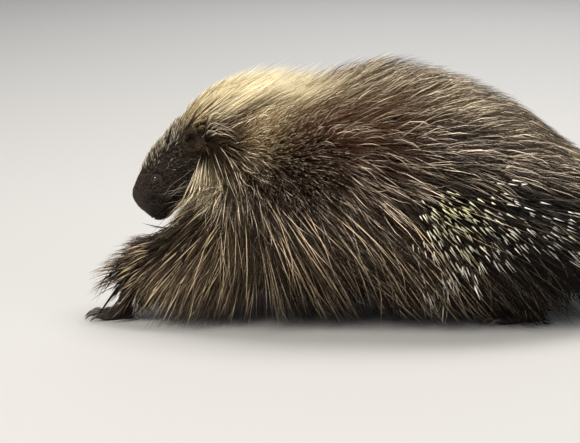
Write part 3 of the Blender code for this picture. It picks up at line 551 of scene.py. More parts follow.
def new_group(name, inputs, outputs):
    """A new node group: its inputs with their default values, its outputs with their kinds."""
    group = bpy.data.node_groups.new(name, "ShaderNodeTree")
    for label, default in inputs.items():
        kind = "NodeSocketFloat" if isinstance(default, float) else "NodeSocketColor"
        group.interface.new_socket(name=label, in_out="INPUT", socket_type=kind).default_value = default
    for label, kind in outputs.items():
        group.interface.new_socket(name=label, in_out="OUTPUT", socket_type=kind)
    return group, group.nodes.new("NodeGroupInput").outputs, group.nodes.new("NodeGroupOutput")


def add(tree, kind, sockets, **settings):
    """A new node with its settings and the values or links of its sockets."""
    node = tree.nodes.new(kind)
    for key, value in settings.items():
        setattr(node, key, value)
    fill(tree, node, sockets)
    return node.outputs


def short_fur():
    """Fur too short to be mesh: a fine streaked height along the body, and lighter and darker hairs."""
    outputs = {"Height": "NodeSocketFloat", "Lightness": "NodeSocketFloat"}
    group, given, leave = new_group("short_fur", {"Streak Size": 420.0, "Bareness": 0.0}, outputs)
    place = add(group, "ShaderNodeTexCoord", {})["Object"]
    lie = {"Vector": place, "Rotation": (0, math.radians(-45), 0), "Scale": (0.28, 1.0, 1.0)}
    turned = add(group, "ShaderNodeMapping", lie)["Vector"]
    noise = {"Vector": turned, "Scale": given["Streak Size"], "Detail": 4.0, "Roughness": 0.7}
    streaks = add(group, "ShaderNodeTexNoise", noise)["Fac"]
    pores = add(group, "ShaderNodeTexVoronoi", {"Vector": place, "Scale": 900.0})["Distance"]
    height = add(group, "ShaderNodeMix", {0: given["Bareness"], 2: streaks, 3: pores}, data_type="FLOAT")[0]
    light = add(group, "ShaderNodeMapRange", {"Value": streaks, "From Min": 0.40, "From Max": 0.75})["Result"]
    fill(group, leave, {"Height": height, "Lightness": light})
    return group


def mixed(tree, amount, first, second):
    """A colour between two, by an amount."""
    return add(tree, "ShaderNodeMix", {0: amount, 6: first, 7: second}, data_type="RGBA")[2]


def value_of(tree, name):
    """A named number of the mesh, as a socket."""
    return add(tree, "ShaderNodeAttribute", {}, attribute_name=name)["Fac"]


def raised(tree, height, strength, distance):
    """The way a surface looks with a fine height on it."""
    sockets = {"Height": height, "Strength": strength, "Distance": distance}
    return add(tree, "ShaderNodeBump", sockets)["Normal"]


def rgb(red, green, blue):
    """A colour given in 0 to 255 as seen, in the shader's own measure."""
    seen = [c / 255 for c in (red, green, blue)]
    return (*(((c + 0.055) / 1.055) ** 2.4 if c > 10 / 255 else c / 12.92 for c in seen), 1.0)


hide, tree, shader = new_material("hide", {"Roughness": 0.62, "Specular IOR Level": 0.22})
grain = add(tree, "ShaderNodeGroup", {"Bareness": value_of(tree, "bare_and_sheen")}, node_tree=short_fur())
tint = rgb(38, 28, 22)
for amount, colour in (
    (value_of(tree, "black"), (22, 17, 16)),
    (value_of(tree, "warm"), (58, 36, 22)),
    (value_of(tree, "blond"), (70, 54, 36)),
    # painted rim light along the top of the muzzle
    (value_of(tree, "muzzle_rim_light"), (78, 48, 32)),
    (grain["Lightness"], (62, 50, 42)),
    # bare skin of nose and lids: its own colour with a painted sheen
    (value_of(tree, "bare_and_sheen"), (52, 43, 38)),
    (value_of(tree, "sole"), (48, 42, 40)),
):
    tint = mixed(tree, amount, tint, rgb(*colour))
fill(tree, shader, {"Base Color": tint, "Normal": raised(tree, grain["Height"], 0.55, 0.0009)})
skin.data.materials.clear()
skin.data.materials.append(hide)
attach(skin, "root")
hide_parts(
    "head", "neck", "torso", "tail", "ear_left", "ear_right", *limbs,
    "forefoot_left", "forefoot_right", "hindfoot_left", "hindfoot_right",
)

# Where each face of the skin is, which way it looks, how large it is and what part it belongs to,
# for the coat to grow from.
skin.data.calc_loop_triangles()
triangles = np.empty(3 * len(skin.data.loop_triangles), np.int32)
skin.data.loop_triangles.foreach_get("vertices", triangles)
triangles = triangles.reshape(-1, 3)
skin_points = read_points(skin.data)
skin_normals = np.empty(3 * len(skin_points))
skin.data.vertices.foreach_get("normal", skin_normals)
skin_normals = skin_normals.reshape(-1, 3)
skin_tree = BVHTree.FromPolygons([Vector(p) for p in skin_points], triangles.tolist())
middles = skin_points[triangles].mean(1)
facing = skin_normals[triangles].mean(1)
facing /= np.linalg.norm(facing, axis=1)[:, None]
corner_a, corner_b, corner_c = (skin_points[triangles[:, i]] for i in range(3))
areas = 0.5 * np.linalg.norm(np.cross(corner_b - corner_a, corner_c - corner_a), axis=1)
skin_part = np.array([part_of_face[forms_tree.find_nearest(Vector(p))[2]] for p in middles])

# Eyes
# Two small dark eyes, each a glossy ball sunk behind its lids, with a brown iris round a wide black pupil
# and a clear bulging front.
SIDES = ((-1, "left"), (1, "right"))
wet, tree, shader = new_material("wet_eye", {"Roughness": 0.06, "Coat Weight": 1.0, "Coat Roughness": 0.02})
rings = tree.nodes.new("ShaderNodeValToRGB")
steps = rings.color_ramp.elements
steps[0].position, steps[0].color = 0.20, rgb(6, 5, 6)
steps[1].position, steps[1].color = 0.30, rgb(44, 30, 20)
steps.new(0.62).color = rgb(24, 18, 15)
fill(tree, rings, {"Fac": value_of(tree, "from_pupil")})
fill(tree, shader, {"Base Color": rings.outputs["Color"]})
for side, word in SIDES:
    low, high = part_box("eye_" + word)
    centre = (low + high) / 2
    outward = Vector(HEAD_ABOVE * EYE_OUT[2]) + Vector((0, side * EYE_OUT[1], 0))
    shape = bmesh.new()
    bmesh.ops.create_uvsphere(shape, u_segments=40, v_segments=28, radius=EYE_BALL)
    for corner in shape.verts:
        corner.co.z += 0.0004 * ease(max(corner.co.z / EYE_BALL, 0.0), 0.72, 1.0)
    shape.transform(outward.to_track_quat("Z", "Y").to_matrix().to_4x4())
    shape.transform(Matrix.Translation(centre))
    ball_mesh = bpy.data.meshes.new("eyeball_" + word)
    shape.to_mesh(ball_mesh)
    shape.free()
    ball_mesh.shade_smooth()
    from_axis = [math.degrees((c.co - centre).angle(outward)) / 90 for c in ball_mesh.vertices]
    write_values(ball_mesh, "from_pupil", from_axis)
    ball_mesh.materials.append(wet)
    eyeball = placed("eyeball_" + word, ball_mesh)
    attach(eyeball, "root")
    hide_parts("eye_" + word)

# Claws
# Four long claws on each forefoot and five on each hind foot, curved and narrow, of dark horn that grows
# paler to its worn tip. Each grows out of the end of its toe.
horn, tree, shader = new_material("claw_horn", {"Roughness": 0.34})
fibres = add(tree, "ShaderNodeTexNoise", {"Scale": 900.0, "Detail": 3.0})["Fac"]
tint = mixed(tree, value_of(tree, "along"), rgb(46, 38, 34), rgb(120, 104, 84))
tint = mixed(tree, fibres, tint, rgb(30, 25, 24))
fill(tree, shader, {"Base Color": tint, "Normal": raised(tree, fibres, 0.3, 0.0003)})
CLAW_STEPS = np.linspace(-0.30, 1.0, 9)  # each claw begins inside its toe
for name, foot in feet.items():
    sizes = foot_sizes[name]
    forms = []
    for _, way, end in toes_of(foot, sizes):
        path, radii = [], []
        for t in CLAW_STEPS:
            rise = 0.95 * sizes["thick"] + 0.0034 * math.sin(3.3 * t) - 0.0036 * t
            path.append(end + way * sizes["claw"] * t + np.array((0, 0, rise)))
            radii.append(0.0022 * (1 - max(t, 0) ** 1.6) + 0.0003)
        forms.append(tube(path, radii, 10, 1.25))
    corners, faces, _ = joined(forms)
    mesh = bpy.data.meshes.new(name.replace("leg", "claws"))
    mesh.from_pydata(corners.tolist(), [], faces)
    mesh.shade_smooth()
    write_values(mesh, "along", np.tile(np.repeat(np.clip(CLAW_STEPS, 0, 1), 10), sizes["toes"]))
    mesh.materials.append(horn)
    claws = placed(mesh.name, mesh)
    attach(claws, "root")

# Woolly underfur
# The dense dark wool next to the skin, which hides the hide between the long hairs. It grows in small
# flat tufts over neck, torso, tail and upper legs, laid back along the body, and hangs longer at the belly's
# edge, partly as underfur and partly as a dark fringe that stands for the shade under the body.
dice = np.random.default_rng(11)
FLOOR_CLEARANCE = 0.004
OVERHANG, DRAWN_BACK = 0.012, 0.75  # hair farther than this past the solids is drawn back by this share
LAID_DOWN = 0.60  # hair above the coat's top line is laid down to it by this share
BAKE_PATCH = 0.003  # the side of each strand's patch in the bake's map
WHORL = (-0.180, 0.207)  # behind the ear, from where the hair of neck and shoulder fans out
# Seen from the side, how far below the horizontal the hair points, in degrees, in each direction from the
# whorl, also counted from straight back and downwards.
FLOW = np.array((
    (-180, -44), (-70, -42), (-30, -31), (-12, -10), (-6, -2), (0, 9), (8, 24), (15, 37), (22, 45), (45, 64),
    (75, 92), (90, 101), (110, 112), (128, 120), (180, 122),
)).T
# The height of the coat's top line along the body, from the working zero.
TOP_LINE = np.array((
    (-0.2064, 0.234), (-0.186, 0.254), (-0.168, 0.272), (-0.138, 0.293), (-0.112, 0.307), (-0.066, 0.308),
    (-0.03, 0.304), (0.006, 0.306), (0.042, 0.308), (0.078, 0.303), (0.114, 0.291), (0.15, 0.278),
    (0.198, 0.251), (0.246, 0.203), (0.27, 0.183), (0.335, 0.148), (0.39, 0.125), (0.44, 0.104), (0.5, 0.09),
)).T
# How wide a strand is at each step of its path, as a share of its own width.
GUARD_SHAPE, SHAGGY_SHAPE, WOOL_SHAPE = (0.75, 1.0, 0.85, 0.55), (0.8, 1.0, 0.7), (0.9, 1.0, 0.6)


def unit(ways):
    """Directions of length one."""
    return ways / np.maximum(np.linalg.norm(ways, axis=1), 1e-9)[:, None]


def girth(points):
    """The working x of places on the trunk, and their angle from the back line in degrees."""
    x = points[:, 0] + MIDDLE_X
    return x, np.degrees(np.arctan2(np.abs(points[:, 1]), points[:, 2] - np.interp(x, *SPINE.T)))


def coat_depth(x):
    """How thick the coat is at each working x."""
    return np.interp(x, [row[0] for row in TRUNK_SECTIONS], [row[6] for row in TRUNK_SECTIONS])


def is_part(*names):
    """Which faces of the skin belong to parts with those names."""
    return np.isin(skin_part, [PART_NAMES.index(name) for name in names])


def sow(count, density):
    """Roots spread over the skin by a density for each face: places and the way the skin looks there."""
    chance = areas * density
    picked = dice.choice(len(areas), count, p=chance / chance.sum())
    u, v = dice.random(count), dice.random(count)
    over = u + v > 1
    u[over], v[over] = 1 - u[over], 1 - v[over]
    along, across = (corner_b - corner_a)[picked], (corner_c - corner_a)[picked]
    return corner_a[picked] + u[:, None] * along + v[:, None] * across, facing[picked]


def laid(ways, normals):
    """Directions turned into the plane of the skin."""
    return unit(np.asarray(ways) - np.sum(ways * normals, 1)[:, None] * normals)


def strayed(ways, normals, amount):
    """Directions turned a little to either side at random."""
    turn = amount * dice.standard_normal(len(ways))
    return unit(ways + turn[:, None] * np.cross(normals, ways))


def fall_of(at):
    """How far below the horizontal the hair points, in degrees, as it fans out from the whorl."""
    x = at[:, 0] + MIDDLE_X
    round_whorl = np.degrees(np.arctan2(WHORL[1] - at[:, 2], x - WHORL[0]))
    fall = np.interp(round_whorl, *FLOW)
    wave = 7 * np.sin(38 * x + 21 * at[:, 2] + 2 * np.sign(at[:, 1])) + 5 * np.sin(71 * at[:, 2] - 47 * x)
    return fall * (1 - 0.65 * ease(x, 0.12, 0.20) * ease(at[:, 2], 0.10, 0.15)) + wave


def lie_on_trunk(at, normals):
    """Directions along the flow from the whorl, and a little outwards on top."""
    fall = np.radians(fall_of(at))
    side = np.clip(at[:, 1] / 0.04, -1, 1)
    return laid(np.stack([np.cos(fall), 0.10 * side, -np.sin(fall)], 1), normals)


def comb(at, normals, ways, length, lift, rise, droop=0.06, hug=0.5, steps=4, sunk=0.0015, curl=0.0):
    """Paths of hairs: out of the skin by an angle called lift, then along it, near the height called rise.

    A hair that is above that height is drawn down by the share called hug. At each step its way turns
    downwards by droop, and at random to one side by curl. It is sunk a little into the skin at its root."""
    count = len(at)
    length, lift, rise = (np.broadcast_to(value, count).astype(float) for value in (length, lift, rise))
    tilt = np.radians(lift)[:, None]
    way = np.cos(tilt) * ways + np.sin(tilt) * normals
    bend = curl * dice.standard_normal(count)[:, None]
    paths = [at - sunk * normals]
    here = at.copy()
    for k in range(1, steps + 1):
        here = here + way * (length / steps)[:, None]
        near, out = np.array([skin_tree.find_nearest(place)[:2] for place in here.tolist()]).swapaxes(0, 1)
        height = np.sum((here - near) * out, 1)
        wanted = rise * math.sin(0.5 * math.pi * min(1.0, 1.25 * k / steps))
        correction = (wanted - height) * np.where(height < wanted, 1.0, hug)
        here = here + correction[:, None] * out
        here[:, 2] = np.maximum(here[:, 2], FLOOR_CLEARANCE)
        way = unit(here - paths[-1])
        way = unit(way + bend * np.cross(out, way))
        way[:, 2] -= droop
        way = unit(way)
        paths.append(here.copy())
    return np.stack(paths, 1)


def topped(paths):
    """Hair that would stand above the coat's top line, laid down towards it."""
    over = np.maximum(paths[:, :, 2] - np.interp(paths[:, :, 0] + MIDDLE_X, *TOP_LINE), 0)
    paths[:, :, 2] -= LAID_DOWN * over
    return paths


def gather(paths, every, strength):
    """Draws hairs together towards their tips into wisps of about so many."""
    count = len(paths)
    leaders = dice.choice(count, max(1, count // every), replace=False)
    search = KDTree(len(leaders))
    for i, leader in enumerate(leaders):
        search.insert(paths[leader, 0], i)
    search.balance()
    nearest = np.array([leaders[search.find(root)[1]] for root in paths[:, 0].tolist()])
    share = np.linspace(0, 1, paths.shape[1]) ** 1.4
    pull = strength * dice.uniform(0.3, 1.0, count)[:, None] * share
    return paths + pull[:, :, None] * (paths[nearest] - paths)


def unrolled(at):
    """Places on the trunk or head, unrolled round the long axis of the body to fill the bake's map."""
    x = at[:, 0]
    turn = np.arctan2(at[:, 1], np.interp(x + MIDDLE_X, *SPINE.T) - at[:, 2])
    both = np.stack([x, turn], 1)
    low, high = both.min(0), both.max(0)
    return 0.01 + 0.975 * (both - low) / (high - low)


def spun(
    name, at, normals, paths, width, pale, material, slot="body_coat", shape=GUARD_SHAPE, flat=0.8, sides=3,
    unwrap=unrolled, tone=None, **marks,
):
    """One mesh of closed tapered strands along the paths, each with its own patch of the bake's map.

    Each strand carries its tone, its paleness and the markings of the coat at its root."""
    limits = np.array(cad_box) + np.array(((-OVERHANG,), (OVERHANG,)))
    paths = paths + DRAWN_BACK * (np.clip(paths, *limits) - paths)
    count, points = paths.shape[:2]
    rings = points - 1
    width = np.broadcast_to(width, count).astype(float)
    along = np.empty_like(paths)
    along[:, 1:-1] = paths[:, 2:] - paths[:, :-2]
    along[:, 0], along[:, -1] = paths[:, 1] - paths[:, 0], paths[:, -1] - paths[:, -2]
    along /= np.maximum(np.linalg.norm(along, axis=2), 1e-9)[:, :, None]
    across = np.cross(along, normals[:, None, :])
    across /= np.maximum(np.linalg.norm(across, axis=2), 1e-9)[:, :, None]
    up = np.cross(across, along)
    per_strand = rings * sides + 1
    corners = np.empty((count, per_strand, 3))
    for k in range(rings):
        size = 0.5 * width[:, None] * shape[k]
        for j in range(sides):
            turn = 2 * math.pi * j / sides + math.pi / 6
            out = math.cos(turn) * across[:, k] + flat * math.sin(turn) * up[:, k]
            corners[:, k * sides + j] = paths[:, k] + size * out
    corners[:, -1] = paths[:, -1]
    one = [(b, a, d, c) for a, b, c, d in walls(rings, sides)]
    last = (rings - 1) * sides
    one += [(last + (j + 1) % sides, last + j, per_strand - 1) for j in range(sides)]
    one.append(tuple(range(sides)))
    loops = np.concatenate([np.array(face) for face in one])
    sizes = np.array([len(face) for face in one])
    all_loops = (loops[None, :] + (np.arange(count) * per_strand)[:, None]).ravel()
    starts = np.concatenate([[0], np.cumsum(np.tile(sizes, count))[:-1]])
    mesh = bpy.data.meshes.new(name)
    mesh.vertices.add(count * per_strand)
    mesh.vertices.foreach_set("co", corners.astype(np.float32).ravel())
    mesh.loops.add(len(all_loops))
    mesh.loops.foreach_set("vertex_index", all_loops.astype(np.int32))
    mesh.polygons.add(len(starts))
    mesh.polygons.foreach_set("loop_start", starts.astype(np.int32))
    mesh.update(calc_edges=True)
    shares = np.append(np.repeat(np.arange(rings) / rings, sides), 1.0)
    write_values(mesh, "along", np.tile(shares, count))
    tone = dice.random(count) if tone is None else tone
    for key, value in {"tone": tone, "pale": pale, **mark_of(at), **marks}.items():
        write_values(mesh, key, np.repeat(np.broadcast_to(value, count), per_strand))
    patch_u = np.append(np.tile(np.arange(sides) / sides, rings), 0.5)
    patches = BAKE_PATCH * np.stack([patch_u, shares], 1)[None] + unwrap(at)[:, None, :]
    layer = mesh.uv_layers.new(name="OFBake")
    layer.data.foreach_set("uv", patches.reshape(-1, 2)[all_loops].astype(np.float32).ravel())
    mesh.shade_smooth()
    mesh.materials.append(material)
    piece = placed(name, mesh)
    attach(piece, "root")


def hair_colours():
    """The colour along a hair: dark root, the shaft's own colour, and a paler band to the tip."""
    inputs = {"Along": 0.5, "Tone": 0.5, "Paleness": 0.5, "Band Start": 0.45, "Band End": 0.8}
    inputs.update(dict.fromkeys(("Root", "Shaft", "Band"), (0.1, 0.1, 0.1, 1.0)))
    group, given, leave = new_group("hair_colours", inputs, {"Colour": "NodeSocketColor"})

    def ranged(sockets, **settings):
        """A number carried over from one range to another."""
        return add(group, "ShaderNodeMapRange", sockets, **settings)["Result"]

    above_root = ranged({"Value": given["Along"], "From Min": 0.05, "From Max": 0.45})
    shaft = mixed(group, above_root, given["Root"], given["Shaft"])
    reach = {"Value": given["Along"], "From Min": given["Band Start"], "From Max": given["Band End"]}
    in_band = ranged(reach, interpolation_type="SMOOTHSTEP")
    amount = add(group, "ShaderNodeMath", {0: in_band, 1: given["Paleness"]}, operation="MULTIPLY")[0]
    banded = mixed(group, amount, shaft, given["Band"])
    light = ranged({"Value": given["Tone"], "To Min": 0.62, "To Max": 1.25})
    toned = add(group, "ShaderNodeVectorMath", {0: banded, "Scale": light}, operation="SCALE")
    fill(group, leave, {"Colour": toned["Vector"]})
    return group


coloured_hair = hair_colours()


def hair_material(name, root, shaft, band, start, end, roughness=0.45):
    """Hair of one kind, with the animal's markings mixed into its shaft and band."""
    made, tree, shader = new_material(name, {"Roughness": roughness, "Specular IOR Level": 0.16})
    black, warm, blond = (value_of(tree, mark) for mark in ("black", "warm", "blond"))
    shaft = mixed(tree, warm, mixed(tree, black, rgb(*shaft), rgb(12, 10, 9)), rgb(80, 46, 23))
    sockets = {
        "Along": value_of(tree, "along"),
        "Tone": value_of(tree, "tone"),
        "Paleness": value_of(tree, "pale"),
        "Root": rgb(*root),
        "Shaft": mixed(tree, blond, shaft, rgb(156, 130, 88)),
        "Band": mixed(tree, blond, rgb(*band), rgb(255, 242, 204)),
        "Band Start": start,
        "Band End": end,
    }
    colours = add(tree, "ShaderNodeGroup", sockets, node_tree=coloured_hair)
    fill(tree, shader, {"Base Color": colours["Colour"]})
    return made


on_trunk = is_part("trunk")
on_head = is_part("head")
face_x, face_angle = girth(middles)
face_forward, face_out, face_above = in_head(middles)
face_side = np.sign(middles[:, 1])
# Forward of this line of the head the fur is short, and behind and below it the long hair begins.
FACE_EDGE = np.array((
    (-0.045, 0.040), (-0.031, 0.030), (-0.022, 0.020), (-0.014, 0.004), (-0.005, -0.010),
    (0.005, -0.019), (0.024, -0.008),
)).T
face_edge = np.interp(face_above, *FACE_EDGE)
behind_face = (face_forward < face_edge) | ~on_head
WOOL_WIDTH = 0.0056
wool = hair_material("underfur_wool", (10, 7, 4), (22, 14, 9), (40, 27, 18), 0.6, 1.0, 0.75)
density = on_trunk * (0.25 + 0.75 * (face_angle < 120) + 0.9 * (face_x > 0.19)) + 0.5 * is_part(*limbs)
density = (density + 0.8 * on_head * behind_face) * (1 + 0.8 * ease(face_angle, 84, 98))
at, normals = sow(5600, density)
x, angle = girth(at)
ways = strayed(lie_on_trunk(at, normals), normals, 0.25)
reach = np.clip(0.60 * coat_depth(x), 0.008, 0.05) * dice.uniform(0.8, 1.2, len(at))
# Longer wool at the belly's edge: partly underfur, partly a dark fringe that stands for the shade under the
# body.
hanging_shade_fringe = ease(angle, 82, 102) * np.maximum(0.7, ease(x, 0.185, 0.215))
paths = comb(at, normals, ways, 1.4 * reach + 0.06 * hanging_shade_fringe, 34, 0.50 * reach, 0.09, steps=3)
spun(
    "underfur", at, normals, topped(paths), WOOL_WIDTH * dice.uniform(0.7, 1.3, len(at)),
    dice.uniform(0.0, 0.5, len(at)), wool, shape=WOOL_SHAPE, flat=0.35,
)

# Guard hairs of the flanks
# Long coarse hairs over both sides, dark at the root with tan outer halves, which fan out from the whorl
# behind the ear and hang lower and lower to the ground. Each grows singly from the skin, in loose wisps.
guard = hair_material("flank_hair", (10, 6, 2), (36, 23, 14), (255, 233, 205), 0.20, 0.46)


def paleness(count, tan, pale):
    """Most hairs stay dark, a share of them is tan in its outer half, and a smaller share is pale."""
    drawn = dice.random(count)
    brown = 0.06 * dice.random(count) ** 2
    tanned = np.where(drawn < pale + tan, dice.uniform(0.15, 0.45, count), brown)
    return np.where(drawn < pale, dice.uniform(0.75, 1.0, count), tanned)


def thickness(pale):
    """How wide each hair is: the pale ones stand for the coarse guard hairs, and are wider."""
    return (0.00066 + 0.00080 * pale) * dice.uniform(0.75, 1.25, len(pale))


def finer(at):
    """The hair is about half as wide where it springs from the whorl behind each ear."""
    return 1 - 0.45 * spot(at[:, 0] + MIDDLE_X, -0.165, 0.026, at[:, 2], 0.236, 0.026)


# The crest's lower edge, as an angle from the back line, for each place along the body.
crest_edge = np.interp(face_x, (-0.17, -0.13, -0.09, -0.04), (56, 46, 32, 24))
face_black = mark_of(middles)["black"]
density = on_trunk * behind_face * ease(face_angle, 32, 50) * (1 - ease(face_angle, 106, 118))
density = density * (0.10 + 0.90 * ease(face_angle - crest_edge, -6, 4)) * (1 - 0.30 * face_black)
for side, word in SIDES:
    for half, low, high in (("front", -0.30, -0.010), ("rear", -0.010, 0.300)):
        at, normals = sow(5400, density * (face_side == side) * (face_x >= low) * (face_x < high))
        x, angle = girth(at)
        marks = mark_of(at)
        low_down = ease(angle, 78, 100)
        short = spot(x, -0.098, 0.054, angle, 66, 20)
        long = dice.random(len(at)) < 0.34
        kept = np.where(long, 1.0, 1 - 0.40 * marks["black"])
        ways = strayed(lie_on_trunk(at, normals), normals, np.where(long, 0.24, 0.14))
        length = (0.098 + 0.026 * low_down - 0.056 * short) * dice.uniform(0.70, 1.15, len(at)) * kept
        rise = coat_depth(x) * dice.uniform(0.30, 1.02, len(at)) * (1 - 0.25 * short) * kept
        droop = 0.045 + 0.05 * low_down
        paths = comb(at, normals, ways, length, 22 - 6 * low_down, rise, droop, curl=0.11)
        paths = gather(topped(paths), 11, 0.60)
        gold = spot(x, -0.124, 0.024, angle, 60, 11)
        pale = paleness(len(at), 0.10, 0.125 + 0.40 * gold)
        pale *= 1 - np.where(long, 0.75, 1.0) * marks["black"]
        pale *= 1 - 0.45 * marks["warm"]
        spun(f"coat_flank_{half}_{word}", at, normals, paths, thickness(pale) * finer(at), pale, guard)

# Hem of the coat
# The lowest guard hair, along the belly's edge and across the breast, long enough to brush the ground and
# hide the legs, brown with tan tips that turn out a little, and the dark wool that hangs under the belly to
# the ground, partly underfur and partly a dark fringe that stands for the shade under the body.
hem_hair = hair_material("hem_hair", (10, 6, 2), (30, 18, 10), (242, 214, 176), 0.24, 0.58)
density = on_trunk * ease(face_angle, 76, 88) * (1 - ease(face_angle, 114, 128))
density = density * (1 + 1.6 * (face_x < -0.08)) * (1 - ease(face_x, 0.29, 0.33))
density = density * (1 - 0.20 * face_black) * (1 + 4.0 * ease(face_x, 0.18, 0.22))
for side, word in SIDES:
    at, normals = sow(4100, density * (face_side == side))
    x, angle = girth(at)
    ways = strayed(lie_on_trunk(at, normals), normals, 0.17)
    behind = ease(x, 0.19, 0.23)
    to_ground = 1.15 * at[:, 2] / np.maximum(-ways[:, 2], 0.50)
    length = np.clip(to_ground * dice.uniform(0.80, 1.15, len(at)), 0.06, 0.175)
    rise = coat_depth(x) * dice.uniform(0.35, 1.0, len(at)) * (1 - 0.5 * ease(angle, 95, 118))
    paths = gather(comb(at, normals, ways, length, 20, rise, 0.12, 0.05, curl=0.10), 10, 0.6)
    pale = paleness(len(at), 0.06, 0.09 + 0.14 * behind)
    pale = pale * (1 - 0.95 * mark_of(at)["black"] * (1 - behind))
    spun("coat_hem_" + word, at, normals, paths, thickness(pale), pale, hem_hair)
# Dark wool hanging straight down from the belly to the floor. It is partly underfur and partly a dark fringe
# put in for the shade under the body, and it hides the lit floor behind it.
belly = on_trunk * ease(face_angle, 100, 116) * (face_x > -0.20) * (face_x < 0.27)
at, normals = sow(1700, belly * (1 + 1.5 * ease(face_x, 0.16, 0.20)))
ways = unit(np.array((0.22, 0.0, -1.0)) + 0.14 * dice.standard_normal((len(at), 3)))
length = np.maximum(at[:, 2] - 0.003, 0.01) * dice.uniform(0.75, 1.0, len(at))
paths = at[:, None] + ways[:, None] * length[:, None, None] * np.array((-0.02, 0.35, 0.70, 1.0))[:, None]
paths[:, :, 2] = np.maximum(paths[:, :, 2], FLOOR_CLEARANCE)
spun(
    "belly_wool_shade_fringe", at, normals, paths, WOOL_WIDTH * dice.uniform(0.7, 1.3, len(at)),
    dice.uniform(0.0, 0.5, len(at)), wool, shape=WOOL_SHAPE, flat=0.35,
)
breast = (on_trunk | (on_head & (face_above < -0.030) & (face_forward < 0.02))) * (face_x < -0.10)
at, normals = sow(2600, breast * (ease(face_angle, 92, 108) + 1.5 * on_head))
ways = strayed(laid((-0.50, 0.0, -1.0), normals), normals, 0.18)
length = np.clip(at[:, 2] * dice.uniform(0.6, 1.0, len(at)), 0.05, 0.13)
rise = 0.018 * dice.uniform(0.4, 1.0, len(at))
paths = comb(at, normals, ways, length, 26, rise, 0.16, 0.0, steps=3, curl=0.08)
pale = paleness(len(at), 0.12, 0.13)
paths = gather(paths, 12, 0.4)
spun("coat_breast", at, normals, paths, thickness(pale), pale, hem_hair, shape=SHAGGY_SHAPE)

# Cheek fan
# The golden hair that springs from the whorl behind the ear, falls forward and down over the jaw and the
# side of the neck, and parts the dark face from the body. Finer and paler than the rest of the flank.
fan_hair = hair_material("fan_hair", (10, 6, 3), (40, 26, 14), (255, 236, 198), 0.12, 0.38)
face_whorl = np.degrees(np.arctan2(WHORL[1] - middles[:, 2], face_x - WHORL[0]))
density = (on_trunk | (on_head & behind_face)) * (1 - ease(face_x, -0.150, -0.115)) * (middles[:, 2] > 0.10)
density = density * ease(face_whorl, 25, 60) * (1 - ease(face_whorl, 140, 160)) * (face_angle < 125)
density = density * (1 + 3.0 * spot(face_x, -0.170, 0.010, middles[:, 2], 0.196, 0.014) + 0.4 * on_head)
for side, word in SIDES:
    at, normals = sow(2300, density * (face_side == side))
    forward = in_head(at)[0]
    falling = (0.85 * ease(forward, -0.014, 0.004) * (dice.random(len(at)) > 0.10))[:, None]
    ways = lie_on_trunk(at, normals) * (1 - falling) + laid((-0.12, 0.0, -1.0), normals) * falling
    ways = strayed(unit(ways), normals, 0.13)
    length = np.interp(forward, (-0.01, 0.03), (0.098, 0.075)) * dice.uniform(0.55, 1.20, len(at))
    rise = dice.uniform(0.005, 0.028, len(at))
    paths = comb(at, normals, ways, length, 22, rise, 0.085, 0.25, curl=0.13)
    fine = (0.85 - 0.30 * ease(forward, -0.005, 0.015)) * finer(at)
    tuft = spot(at[:, 0] + MIDDLE_X, -0.170, 0.014, at[:, 2], 0.198, 0.018)
    pale = np.maximum(paleness(len(at), 0.12, 0.24), (dice.random(len(at)) < 0.5 * tuft) * 0.95)
    paths = gather(paths, 8, 0.60)
    spun("cheek_fan_" + word, at, normals, paths, fine * thickness(pale), pale, fan_hair)

